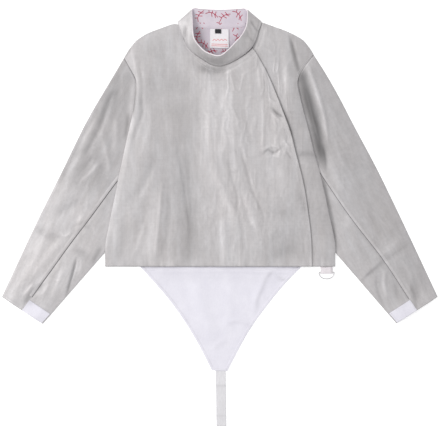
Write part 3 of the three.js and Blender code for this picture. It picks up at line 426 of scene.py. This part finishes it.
def body_form(points):
    """How far the fronts rise beyond their solids, and their painted light and shade."""
    x, y = points.T
    height, shade = fold_sums(points, BODY_FOLDS)
    lift = BODY_LOFT + height
    wander = points + np.stack([6 * lattice_noise(points, (60, 160), 3), np.zeros(len(points))], axis=1)
    for rise, cell, seed in BODY_WAVES:
        lift += rise * lattice_noise(wander, cell, seed)
    middle = bell(x - CRINKLED_X, CRINKLED_WIDTH)
    for rise, added, cell, seed in BODY_CRINKLES:
        lift += (rise + added * middle) * crinkle(points, cell, seed)
    hem = np.exp(-np.clip(y - HEM_Y - 4, 0, None) / 14)
    ripples = lattice_noise(points, *HEM_RIPPLES)
    lift += 0.9 * hem * (ripples + 0.3)
    # The cloth stays on its solid at the sides, the shoulders and the neck
    side_inset = np.minimum(x - looked_up(y, LEFT_SIDE), looked_up(y, RIGHT_SIDE) - x)
    edge = smooth((side_inset - 1) / 24)
    shoulder = smooth((looked_up(x, SHOULDER_LINE) - y - 2) / 12)
    neck = beside(points, NECK_SEAM)
    rightward = smooth((x + 20) / 40)
    lift = soft_floor(lift, BODY_LOWEST) * edge * shoulder * smooth((neck - 1) / (5 + 9 * rightward))
    # Painted shade at the hem's edge, painted light and shade on the hem's ripples, painted shade in the neck
    # seam on the right with painted light over it on the left, so that the seam shows on the right alone, and
    # painted shade along the stitch row on the right
    shade += 0.09 * hem * ripples - 0.1 * bell(y - HEM_Y, 2.4)
    shade -= 0.3 * bell(neck, 2.6) * (rightward - 0.5)
    shade -= 0.12 * bell(neck - 6.5, 1.4) * smooth((x + 2) / 30)
    return lift, shade


def main_form(points):
    """The main front also stands off the side front along the closure's edge, with a painted highlight just
    inside it.
    """
    lift, shade = body_form(points)
    lap = beside(points, LAP_EDGE)
    lift += bell(lap, 7) * looked_up(points[:, 1], LAP_LOFT)
    return lift, shade + 0.05 * bell(lap - 3, 2.6)


def side_form(points):
    """The side front gets a painted shadow of the closure's edge, beside that edge."""
    lift, shade = body_form(points)
    y = points[:, 1]
    lap = measure(points, LAP_EDGE)[0]
    width = np.where(lap > 0, 2.4 + 2.2 * bell(y - 200, 45), 8)
    return lift, shade + looked_up(y, LAP_SHADE) * bell(lap, width)


def sleeve_form(points, sign):
    """How far a sleeve's upper layer rises beyond its solid, and its painted light and shade. The sign is its
    side in X.
    """
    x, y = points.T
    outer, under, seam, folds, side, seed = SLEEVES[sign]
    from_outer, from_under, from_seam = (beside(points, curve_through(row, 4)) for row in (outer, under, seam))
    height, shade = fold_sums(points, folds)
    cos, sin = math.cos(SLEEVE_LEAN * sign), math.sin(SLEEVE_LEAN * sign)
    turned = points @ np.array([[cos, -sin], [sin, cos]])
    lift = SLEEVE_LOFT + height
    lift += 0.2 * lattice_noise(turned, (18, 70), seed) + 0.12 * lattice_noise(turned, (9, 35), seed + 1)
    lift += 0.25 * crinkle(turned, (18, 44), seed + 2) + 0.3 * crinkle(points, (15, 24), seed + 3)
    lift -= 0.5 * bell(from_seam, 3)
    # Painted shade along the seam, and on the left sleeve along its lit outer edge
    shade -= 0.08 * bell(from_seam, 2)
    if sign < 0:
        shade -= 0.09 * bell(from_outer, 9)
    # It stays down at its edges, and near the body as far as this covers it
    dome = smooth((from_outer - 1) / 30) * smooth((from_under - 1) / 20)
    clear = np.where(y < SLEEVE_FREE_Y, 1, smooth((sign * (x - looked_up(y, side)) - 4) / 22))
    return soft_floor(lift, SLEEVE_LOWEST) * dome * clear, shade


def crotch_form(points):
    """Soft folds of the crotch panel with their painted light and shade, fading under the hem and at the strap.
    """
    y = points[:, 1]
    height, shade = fold_sums(points, CROTCH_FOLDS)
    fade = smooth((-106 - y) / 14) * smooth((y + 306) / 20)
    lift = CROTCH_LOFT + height + 0.25 * lattice_noise(points, (22, 60), 31)
    return np.clip(lift, 0, None) * fade, shade * fade


def strap_form(points):
    """The strap is lighter above its first fold, with painted shade beside both folds."""
    y = points[:, 1]
    shade = 0.03 * smooth((y + 352) / 4) - 0.1 * bell(y + 354, 2.6) - 0.08 * bell(y + 417, 2.2)
    return 0, shade


def lining_painted_shadow(points):
    """Painted shadow of the collar on the linings, deepest on the left and at the front."""
    x, y = points.T
    low = smooth((404 - y) / 10)
    shade = -0.22 * smooth((-14 - x) / 34) * low - 0.12 * smooth((372 - y) / 26) - 0.05 * low
    return 0, shade


def collar_move(points):
    """Collar points moved by its folds, and their painted light and shade. The base stays at its seam."""
    plan, z = points[:, :2], points[:, 2]
    height, shade = fold_sums(plan, COLLAR_FOLDS)
    neck = beside(plan, NECK_SEAM)
    standing = smooth((z - 5) / 5) * smooth((neck - 2) / 7)
    height = (height + 0.35 * lattice_noise(plan, (14, 14), 61)) * standing
    away = unit(plan - np.asarray(NECK_MIDDLE))
    moved = points + np.column_stack([away * (0.75 * height)[:, None], 0.6 * height])
    is_front = smooth((z - 3) / 3)
    # On the left the base lies flatter, so that its seam hardly shows
    moved[:, 2] -= 1.1 * smooth((6 - neck) / 5) * smooth((20 - plan[:, 0]) / 40) * is_front
    # Painted shade along the stitch row on the right, and over the collar's front, less towards the left
    shade -= 0.16 * bell(neck - 6.5, 1.4) * smooth((plan[:, 0] - 4) / 24)
    return moved, (shade - 0.05 * smooth((plan[:, 0] + 60) / 50)) * is_front


def read_points(mesh):
    """A mesh's vertices as an array in millimetres."""
    flat = np.empty(len(mesh.vertices) * 3)
    mesh.vertices.foreach_get("co", flat)
    return flat.reshape(-1, 3) / MM


def write_points(mesh, points):
    """Puts points into a mesh, none of them below the table."""
    points[:, 2] = np.clip(points[:, 2], 0, None)
    mesh.vertices.foreach_set("co", (points * MM).ravel())
    mesh.update()


def write_shade(mesh, shade=0):
    """Keeps each point's painted light and shade, for its material."""
    name = "shade"
    values = mesh.attributes.get(name) or mesh.attributes.new(name, "FLOAT", "POINT")
    values.data.foreach_set("value", np.full(len(mesh.vertices), shade, np.float32))


def linked(name, data):
    """A new object in the scene."""
    thing = bpy.data.objects.new(name, data)
    bpy.context.scene.collection.objects.link(thing)
    return thing


def soften(mesh):
    """Smooth shading, but not over sharp edges."""
    mesh.shade_smooth()
    mesh.set_sharp_from_angle(angle=SHARP_ANGLE)


def add_piece(name, mesh, material, body="jacket"):
    """Adds a piece that rides on a body."""
    piece = linked(name, mesh)
    mesh.materials.clear()
    mesh.materials.append(material)
    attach(piece, body)
    return piece


def fine_copy(node, name, levels):
    """A finely divided copy of a node, smoothed but for its hard edges."""
    coarse = bpy.data.meshes.new(name + "_coarse")
    work = bmesh.new()
    work.from_mesh(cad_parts[node].data)
    bmesh.ops.remove_doubles(work, verts=work.verts, dist=WELD)
    bmesh.ops.join_triangles(work, faces=work.faces, angle_face_threshold=math.pi,
                             angle_shape_threshold=math.pi)
    crease = work.edges.layers.float.new("crease_edge")
    for edge in work.edges:
        if edge.is_manifold and edge.calc_face_angle() > HARD_ANGLE:
            edge[crease] = 1.0
    work.to_mesh(coarse)
    work.free()
    holder = linked(name + "_holder", coarse)
    holder.modifiers.new("divide", "SUBSURF").levels = levels
    depsgraph = bpy.context.evaluated_depsgraph_get()
    fine = bpy.data.meshes.new_from_object(holder.evaluated_get(depsgraph))
    fine.name = name
    bpy.data.objects.remove(holder)
    bpy.data.meshes.remove(coarse)
    soften(fine)
    return fine


def surface_of(*pieces):
    """The pieces' faces, to lay things on."""
    return BVHTree.FromPolygons(*joined(
        ([vertex.co.copy() for vertex in piece.data.vertices], [face.vertices for face in piece.data.polygons])
        for piece in pieces))


def drop(surface, x, y):
    """Height of the topmost face at a place, or None beyond the surface."""
    place = surface.ray_cast(Vector((x * MM, y * MM, DROP_HEIGHT)), Vector((0, 0, -1)))[0]
    return None if place is None else place.z / MM


def joined(parts):
    """Several lists of corners and faces as one."""
    corners, faces = [], []
    for part_corners, part_faces in parts:
        start = len(corners)
        corners.extend(part_corners)
        faces.extend([start + i for i in face] for face in part_faces)
    return corners, faces


def run_through(rings, loop=False):
    """Corners and faces of a strip through rings of points, closed at its ends or joined in a loop."""
    count, sides = len(rings), len(rings[0])
    faces = []
    for r in range(count if loop else count - 1):
        here, after = r * sides, (r + 1) % count * sides
        faces.extend([here + k, here + (k + 1) % sides, after + (k + 1) % sides, after + k]
                     for k in range(sides))
    if not loop:
        faces += [list(range(sides)), list(range((count - 1) * sides, count * sides))]
    return [corner for ring in rings for corner in ring], faces


def oval(centre, first, second, sides):
    """Points round a centre, from the two half axes of their oval."""
    return [tuple(centre + first * math.cos(angle) + second * math.sin(angle))
            for angle in np.linspace(0, 2 * math.pi, sides, endpoint=False)]


def laid_strip(surface, line, profile, step=2.0):
    """A strip laid along a line on a surface. It stops where the surface steps up or down."""
    line = spaced(curve_through(line, 8), step)
    tracks = [offset_line(line, across) for across, _ in profile]
    runs = [[]]
    last = None
    for i in range(len(line)):
        heights = [drop(surface, *track[i]) for track in tracks]
        known = [height for height in heights if height is not None]
        if not known or max(known) - min(known) > LARGEST_STEP:
            runs.append([])
            continue
        middle = np.mean(known)
        if runs[-1] and abs(middle - last) > LARGEST_STEP:
            runs.append([])
        last = middle
        runs[-1].append([(*track[i], (middle if height is None else height) + rise)
                         for track, height, (_, rise) in zip(tracks, heights, profile)])
    return joined(run_through(run) for run in runs if len(run) > 1)


def stitch_row(surface, line, size):
    """Stitches along a line: short threads that dip into the cloth at both ends."""
    pitch, length, radius = size
    line = spaced(curve_through(line, 8), pitch)
    parts = []
    for start, run in zip(line, unit(np.diff(line, axis=0))):
        places = [start + run * length * share for share, _, _ in STITCH_FORM]
        heights = [drop(surface, *place) for place in places]
        if None in heights:
            continue
        rings = []
        for place, height, (_, thickness, lift) in zip(places, heights, STITCH_FORM):
            thick = radius * thickness
            rings.append(oval(np.array([*place, height + lift]), np.array([run[1], -run[0], 0]) * thick,
                              np.array([0, 0, thick]), STITCH_SIDES))
        parts.append(run_through(rings))
    return joined(parts)


class Look:
    """A material, and short ways to build its nodes. Its turn is how the cloth lies."""

    def __init__(self, name, turn=0.0):
        self.material = bpy.data.materials.new(name)
        self.material.use_nodes = True
        self.tree = self.material.node_tree
        self.turn = turn

    def feed(self, node, inputs):
        """Sets a node's inputs, or links those given an output."""
        for key, value in inputs.items():
            if isinstance(value, bpy.types.NodeSocket):
                self.tree.links.new(value, node.inputs[key])
            else:
                node.inputs[key].default_value = value

    def finish(self, **inputs):
        """Feeds the shader. The names of its inputs are given with _ for a space."""
        self.feed(self.tree.nodes["Principled BSDF"], {key.replace("_", " "): inputs[key] for key in inputs})
        return self.material

    def add(self, kind, output, inputs, **settings):
        """Adds a node and returns one of its outputs."""
        node = self.tree.nodes.new("ShaderNode" + kind)
        for key, value in settings.items():
            setattr(node, key, value)
        self.feed(node, inputs)
        return node.outputs[output]

    def place(self):
        """Places on the piece, turned along the cloth."""
        place = self.add("TexCoord", "Object", {})
        return self.add("VectorRotate", "Vector", {"Vector": place, "Angle": self.turn}, rotation_type="Z_AXIS")

    def noise(self, scale, detail=3.0, rough=0.55, kind="FBM"):
        """Noise whose scale is how many cells a metre holds across, along and up."""
        place = self.add("Mapping", "Vector", {"Vector": self.place(), "Scale": scale})
        return self.add("TexNoise", "Fac", {"Vector": place, "Scale": 1, "Detail": detail, "Roughness": rough},
                        noise_type=kind)

    def ramp(self, source, *colours):
        """Colours picked by a value. A single number stands for a grey."""
        output = self.add("ValToRGB", "Color", {"Fac": source})
        elements = output.node.color_ramp.elements
        while len(elements) < len(colours):
            elements.new(0.5)
        for element, place, colour in zip(elements, np.linspace(*RAMP_ENDS, len(colours)), colours):
            element.position = place
            element.color = (*(colour if isinstance(colour, tuple) else (colour,) * 3), 1)
        return output

    def multiplied(self, first, second, factor):
        return self.add("Mix", "Result", {"Factor": factor, "A": first, "B": second}, data_type="RGBA",
                        blend_type="MULTIPLY")

    def shaded(self, colour):
        """The colour made lighter or darker by the painted light and shade kept at each point."""
        shade = self.add("Attribute", "Fac", {}, attribute_name="shade")
        lighter = self.add("Math", 0, {0: shade, 1: 1.0}, operation="ADD")
        return self.add("VectorMath", "Vector", {0: colour, "Scale": lighter}, operation="SCALE")

    def bump(self, height, strength, distance, under=None):
        """Bump by a value, on top of another bump if one is given."""
        inputs = {"Height": height, "Strength": strength, "Distance": distance}
        if under is not None:
            inputs["Normal"] = under
        return self.add("Bump", "Normal", inputs)

    def weave(self, pitch, strength):
        """Bump of two crossing sets of threads."""
        place = self.place()
        threads = [self.add("TexWave", "Fac", {"Vector": place, "Scale": WAVE_LENGTH / pitch, "Distortion": 0.6,
                                               "Detail": 1.0}, wave_type="BANDS", bands_direction=direction)
                   for direction in ("X", "Y")]
        crossing = self.add("Math", 0, dict(enumerate(threads)), operation="MULTIPLY")
        return self.bump(crossing, strength, THREAD_DEPTH)


def lame_cloth(name, turn):
    """Woven silver thread: uneven streaks along the warp, a soft sheen and a fine weave."""
    look = Look(name, turn)
    streaks = look.noise((80, 12, 12), 5)
    threads = look.noise((420, 24, 24))
    wefts = look.noise((22, 420, 22), 2)
    mottle = look.noise((190, 130, 130), 4)
    blotches = look.noise((48, 34, 34), 4, 0.65)
    clouds = look.noise((11, 7, 7))
    creases = look.noise((85, 26, 26), kind="RIDGED_MULTIFRACTAL")
    colour = look.ramp(streaks, (0.545, 0.53, 0.536), (0.57, 0.557, 0.565), (0.595, 0.585, 0.597))
    for source, low, high in ((threads, 0.95, 1), (wefts, 0.96, 1), (mottle, 0.92, 1), (blotches, 0.93, 1.04)):
        colour = look.multiplied(colour, look.ramp(source, low, high), 0.9)
    colour = look.multiplied(colour, look.ramp(clouds, (0.96, 0.934, 0.926), (1.0, 0.993, 1.0)), 0.8)
    normal = look.bump(mottle, 0.35, 0.0006, look.weave(0.0007, 0.35))
    normal = look.bump(creases, 0.22, 0.0005, normal)
    # The base colour carries each point's painted light and shade
    return look.finish(Base_Color=look.shaded(colour), Roughness=look.ramp(streaks, 0.6, 0.5), Metallic=0.38,
                       Sheen_Weight=0.08, Sheen_Roughness=0.45, Normal=normal)


def plain_cloth(name, light, dark, pitch, roughness=0.85, depth=0.4, ribs=None):
    """Ordinary woven cloth between two close tones. Ribs give its cells a metre where it is ribbed."""
    look = Look(name)
    tones = look.ramp(look.noise((40, 30, 30), 4), dark, light)
    threads = look.ramp(look.noise(ribs or (900, 300, 300), 2), 0.86 if ribs else 0.94, 1)
    colour = look.multiplied(tones, threads, 0.8)
    # The base colour carries each point's painted light and shade
    return look.finish(Base_Color=look.shaded(colour), Roughness=roughness, Sheen_Weight=0.15,
                       Normal=look.weave(pitch, depth))


def area_light(name, place, size, power, colour):
    """A soft panel of light aimed at the middle of the jacket."""
    data = bpy.data.lights.new(name, "AREA")
    data.shape = "RECTANGLE"
    data.size, data.size_y = size
    data.energy, data.color = power, colour
    light = linked(name, data)
    light.location = place
    light.rotation_euler = (-Vector(place)).to_track_quat("-Z", "Y").to_euler()


# Camera straight above, white surroundings, and a large soft panel from the upper left that models the folds
scene = bpy.context.scene
scene.camera = linked("camera", bpy.data.cameras.new("camera"))
scene.camera.location = (*VIEW_CENTRE, VIEW_WIDTH * LENS / SENSOR)
scene.camera.data.lens = LENS
scene.camera.data.sensor_width = SENSOR
scene.world = bpy.data.worlds.new("surroundings")
scene.world.use_nodes = True
background = scene.world.node_tree.nodes["Background"].inputs
background["Color"].default_value = (1, 1, 1, 1)
background["Strength"].default_value = 0.66
scene.view_settings.view_transform = "Standard"
area_light("key", (-3.6, 1.7, 3.5), (2.4, 1.8), 150, (1, 0.995, 0.985))
area_light("fill", (0.9, -0.9, 4.0), (2.4, 2.4), 25, (0.985, 0.99, 1))

# Plain white table, without gloss
table = bpy.data.meshes.new("floor")
table.from_pydata([(x * FLOOR_HALF, y * FLOOR_HALF, 0) for x, y in ((-1, -1), (1, -1), (1, 1), (-1, 1))], [],
                  [(0, 1, 2, 3)])
table.materials.append(Look("floor_white").finish(
    Base_Color=(0.97, 0.97, 0.975, 1), Roughness=0.9, Specular_IOR_Level=0.0, Emission_Color=(1, 1, 1, 1),
    Emission_Strength=0.3))
floor = linked("floor", table)
floor.location.z = -FLOOR_GAP

# Lighter and darker tone, thread pitch in metres, roughness, depth of the weave, ribs
PLAIN_CLOTHS = {
    "white_cloth": ((0.79, 0.775, 0.845), (0.74, 0.725, 0.8), 0.0006),
    "lining_cloth": ((0.66, 0.6, 0.66), (0.6, 0.54, 0.61), 0.0005),
    "label_cloth": ((0.84, 0.81, 0.84), (0.8, 0.77, 0.8), 0.0004, 0.6),
    "size_cloth": ((0.02, 0.02, 0.026), (0.012, 0.012, 0.016), 0.0004),
    "elastic": ((0.76, 0.75, 0.775), (0.71, 0.7, 0.725), 0.0011, 0.85, 0.8, (620, 60, 60)),
    "webbing": ((0.8, 0.75, 0.78), (0.72, 0.67, 0.7), 0.0013, 0.85, 0.8),
    "silver_thread": ((0.6, 0.59, 0.6), (0.5, 0.49, 0.5), 0.0006, 0.6),
    "white_thread": ((0.82, 0.81, 0.84), (0.72, 0.71, 0.74), 0.0006, 0.7),
    # A dark grey for the sleeve seams: painted shadow
    "painted_seam_shadow": ((0.16, 0.155, 0.16), (0.1, 0.097, 0.1), 0.0006, 0.9),
    "piping": ((0.86, 0.8, 0.83), (0.78, 0.71, 0.75), 0.0007, 0.8),
    "crimson_print": ((0.46, 0.02, 0.07), (0.34, 0.012, 0.045), 0.0005),
    "pale_print": ((0.8, 0.36, 0.36), (0.74, 0.3, 0.31), 0.0005),
}
LAME_TURNS = {"lame_body": 0.0, "lame_sleeve_left": math.radians(27), "lame_sleeve_right": math.radians(-27)}
looks = {name: lame_cloth(name, turn) for name, turn in LAME_TURNS.items()}
looks.update((name, plain_cloth(name, *values)) for name, values in PLAIN_CLOTHS.items())
steel = Look("ring_steel")
scuffs = steel.noise((900, 900, 900))
looks["ring_steel"] = steel.finish(Base_Color=steel.ramp(scuffs, (0.56, 0.55, 0.56), (0.66, 0.65, 0.66)),
                                   Roughness=steel.ramp(scuffs, 0.34, 0.5), Metallic=0.6)

left_sleeve_form = partial(sleeve_form, sign=-1)
right_sleeve_form = partial(sleeve_form, sign=1)
# Look, slot, how often the node's faces are halved, what shapes it and gives its painted light and shade, and
# if its upper layer alone moves
CLOTH_NODES = {
    "front_main": ("lame_body", "lame", 3, main_form),
    "front_side": ("lame_body", "lame", 3, side_form),
    "back": ("lame_body", "lame", 2),
    "sleeve_left": ("lame_sleeve_left", "lame", 3, left_sleeve_form, True),
    "sleeve_right": ("lame_sleeve_right", "lame", 3, right_sleeve_form, True),
    "collar": ("lame_body", "lame", 3),
    "collar_lining": ("lining_cloth", "lining", 3),
    "back_lining": ("lining_cloth", "lining", 2, lining_painted_shadow),
    "neck_label": ("label_cloth", "label", 3),
    "size_label": ("size_cloth", "size_patch", 2),
    "cuff_patch_left": ("white_cloth", "white_cloth", 3, left_sleeve_form),
    "cuff_patch_right": ("white_cloth", "white_cloth", 3, right_sleeve_form),
    "crotch_panel": ("white_cloth", "white_cloth", 3, crotch_form),
    "crotch_strap": ("elastic", "elastic", 3, strap_form),
    "ring_tab": ("webbing", "webbing", 2),
}


def make_cloth(node, look, slot, levels, form=None, upper_only=False):
    """Dresses a node with its fine copy, raised and given painted light and shade by its form. A flattened
    tube's lower layer stays down.
    """
    mesh = fine_copy(node, node + "_cloth", levels)
    points = read_points(mesh)
    rise, shade = form(points[:, :2]) if form else (0, 0)
    if upper_only:
        upper = smooth((points[:, 2] - LAYER_START) / LAYER_STEP)
        rise, shade = rise * upper, shade * upper
    points[:, 2] += rise
    write_points(mesh, points)
    write_shade(mesh, shade)
    piece = add_piece(node + "_cloth", mesh, looks[look])
    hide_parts(node)
    return piece


cloth = {node: make_cloth(node, *values) for node, values in CLOTH_NODES.items()}
for node in ("front_main", "front_side"):
    # Their neck edge goes in under the collar's base
    mesh = cloth[node].data
    points = read_points(mesh)
    plan = points[:, :2]
    near = smooth((NECK_BAND - beside(plan, NECK_SEAM)) / NECK_BAND)
    points[:, :2] += unit(np.asarray(NECK_MIDDLE) - plan) * (NECK_REACH * near)[:, None]
    write_points(mesh, points)
# Both collars move with the folds; the collar gets their painted light and shade, its lining the collar's
# painted shadow
for node in ("collar", "collar_lining"):
    mesh = cloth[node].data
    points, shade = collar_move(read_points(mesh))
    write_points(mesh, points)
    write_shade(mesh, shade if node == "collar" else lining_painted_shadow(points[:, :2])[1])

ring = add_piece("d_ring_wire", fine_copy("d_ring", "d_ring_wire", 1), looks["ring_steel"], "ring")
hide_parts("d_ring")

# Sewing
fronts = surface_of(cloth["front_main"], cloth["front_side"])
sleeves = surface_of(cloth["sleeve_left"], cloth["sleeve_right"])
linings = surface_of(cloth["collar_lining"], cloth["back_lining"])
crotch = surface_of(cloth["crotch_panel"])
label = surface_of(cloth["neck_label"])


def add_strips(name, strips, look, flat=False):
    """Adds strips as one piece, none of its points below the table. A flat one isn't shaded smooth."""
    corners, faces = joined(strips)
    mesh = bpy.data.meshes.new(name)
    mesh.from_pydata([(x * MM, y * MM, max(z, 0) * MM) for x, y, z in corners], [], faces)
    work = bmesh.new()
    work.from_mesh(mesh)
    bmesh.ops.recalc_face_normals(work, faces=work.faces)
    work.to_mesh(mesh)
    work.free()
    if not flat:
        soften(mesh)
    write_shade(mesh)
    return add_piece(name, mesh, looks[look])


def add_stitches(name, surface, thread, rows):
    """Adds rows of stitches, listed by the stitches' size, as one piece."""
    strips = [stitch_row(surface, line, size) for size, lines in rows.items() for line in lines]
    add_strips(name, strips, thread, True)


def widened(profile, factor):
    """The profile made wider or narrower, or mirrored by a factor below 0."""
    return [(factor * across, height) for across, height in profile]


left_seam, right_seam = curve_through(LEFT_SLEEVE_SEAM, 4), curve_through(RIGHT_SLEEVE_SEAM, 4)
lap_line, neck_line = curve_through(LAP_EDGE, 6), curve_through(NECK_SEAM, 6)
for side, line, sign in (("left", left_seam, 1), ("right", right_seam, -1)):
    seam = laid_strip(sleeves, offset_line(line, SEAM_SHIFT * sign), widened(FELLED_SEAM, sign))
    add_strips("sleeve_seam_" + side, [seam], "lame_sleeve_" + side)
# Dark strips in the sleeve seams: painted shadow of their ditches
add_strips("painted_seam_shadows", [laid_strip(sleeves, left_seam, SEAM_SHADOW_STRIP),
                            laid_strip(sleeves, right_seam, widened(SEAM_SHADOW_STRIP, 0.6))], "painted_seam_shadow")
add_stitches("body_stitches", fronts, "silver_thread", {WIDE_STITCH: [
    *HEM_STITCHES, offset_line(lap_line, -5), offset_line(lap_line, -9), offset_line(neck_line, 6.5)[8:-8],
    offset_line(curve_through(LEFT_ARMHOLE, 6), -3.4), offset_line(curve_through(RIGHT_ARMHOLE, 6), 3.4),
]})
add_stitches("sleeve_stitches", sleeves, "silver_thread", {WIDE_STITCH: [
    offset_line(left_seam, 4.4), offset_line(right_seam, -4.4), offset_line(LEFT_CUFF, -5),
    offset_line(RIGHT_CUFF, 5),
]})
add_stitches("collar_stitches", surface_of(cloth["collar"]), "silver_thread",
             {WIDE_STITCH: [offset_line(neck_line, -6.5)[6:-6]]})

# On the left the collar's seam is pressed smooth, so that it hardly shows
neck_left = neck_line[8:len(neck_line) * 2 // 5]
neck_cloths = surface_of(cloth["front_main"], cloth["collar"])
add_strips("neck_seam_left", [laid_strip(neck_cloths, neck_left, PRESSED_SEAM)], "lame_body")


def eased(rows, passes=4):
    """A closed row of points or directions with its corners eased."""
    for _ in range(passes):
        rows = (np.roll(rows, 1, axis=0) + 2 * rows + np.roll(rows, -1, axis=0)) / 4
    return rows


# Piping round the collar's top edge, set by the directions up its wall and through it
base, top = (curve_through(edge, 9, closed=True) for edge in zip(*COLLAR_RING))
up = unit(top - base)
out = unit(np.cross(np.roll(top, -1, axis=0) - np.roll(top, 1, axis=0), up))
path, _ = collar_move(top - out * 1.2 + up * 0.1)
rings = [oval(place, across * PIPING_HALF[0], along * PIPING_HALF[1], PIPING_SIDES)
         for place, across, along in zip(eased(path), eased(out), eased(up))]
add_strips("collar_piping", [run_through(rings, True)], "piping")


def sprig_strokes():
    """The strokes of all the print's sprigs."""
    for x, y, turn, size in SPRIGS:
        cos, sin = math.cos(math.radians(turn)), math.sin(math.radians(turn))
        for stroke in SPRIG:
            yield np.asarray(stroke, float) * size @ np.array([[cos, sin], [-sin, cos]]) + (x, y)


add_strips("lining_sprigs", [laid_strip(linings, line, PRINT, PRINT_STEP) for line in sprig_strokes()],
           "crimson_print", True)
add_strips("neck_tape", [laid_strip(linings, NECK_TAPE_LINE, NECK_TAPE)], "lining_cloth")

zigzag = [(-15 + 3.7 * i, 370 + (3.4 if i % 2 else 0)) for i in range(9)]
add_strips("label_pattern", [laid_strip(label, line, PRINT, PRINT_STEP)
                             for line in [*LABEL_LINES, *zip(zigzag, zigzag[1:])]], "pale_print", True)
add_stitches("label_stitches", label, "white_thread", {LABEL_STITCH: LABEL_SEWING})

crotch_left, crotch_right = curve_through(CROTCH_LEFT, 8), curve_through(CROTCH_RIGHT, 8)
crotch_edges = add_strips("crotch_edges", [
    laid_strip(crotch, crotch_left, widened(TURNED_EDGE, -1)), laid_strip(crotch, crotch_right, TURNED_EDGE),
    laid_strip(crotch, CROTCH_POINT, POINT_BAND),
], "white_cloth")
add_stitches("crotch_stitches", surface_of(cloth["crotch_panel"], crotch_edges), "white_thread",
             {WIDE_STITCH: [offset_line(crotch_left, -4.2), offset_line(crotch_right, 4.2), CROTCH_TOP_ROW],
              CLOSE_STITCH: POINT_ROWS})
add_stitches("strap_stitches", surface_of(cloth["crotch_strap"], cloth["ring_tab"]), "white_thread",
             {CLOSE_STITCH: [[(left, y), (right, y)] for left, right, rows in STRAP_ROWS for y in rows]})


def patch_outline(piece, inset):
    """Lines round a cuff patch, some way in from its four corners."""
    points = read_points(piece.data)[:, :2]
    centre = points.mean(axis=0)
    hull = []
    for direction in PATCH_CORNERS[np.sign(centre[0])]:
        corner = points[np.argmax(points @ np.asarray(direction))]
        hull.append(corner + (centre - corner) / np.linalg.norm(centre - corner) * inset)
    return list(zip(hull, hull[1:] + hull[:1]))


patches = cloth["cuff_patch_left"], cloth["cuff_patch_right"]
add_stitches("patch_stitches", surface_of(*patches), "white_thread",
             {PATCH_STITCH: [line for patch in patches for line in patch_outline(patch, 4)]})
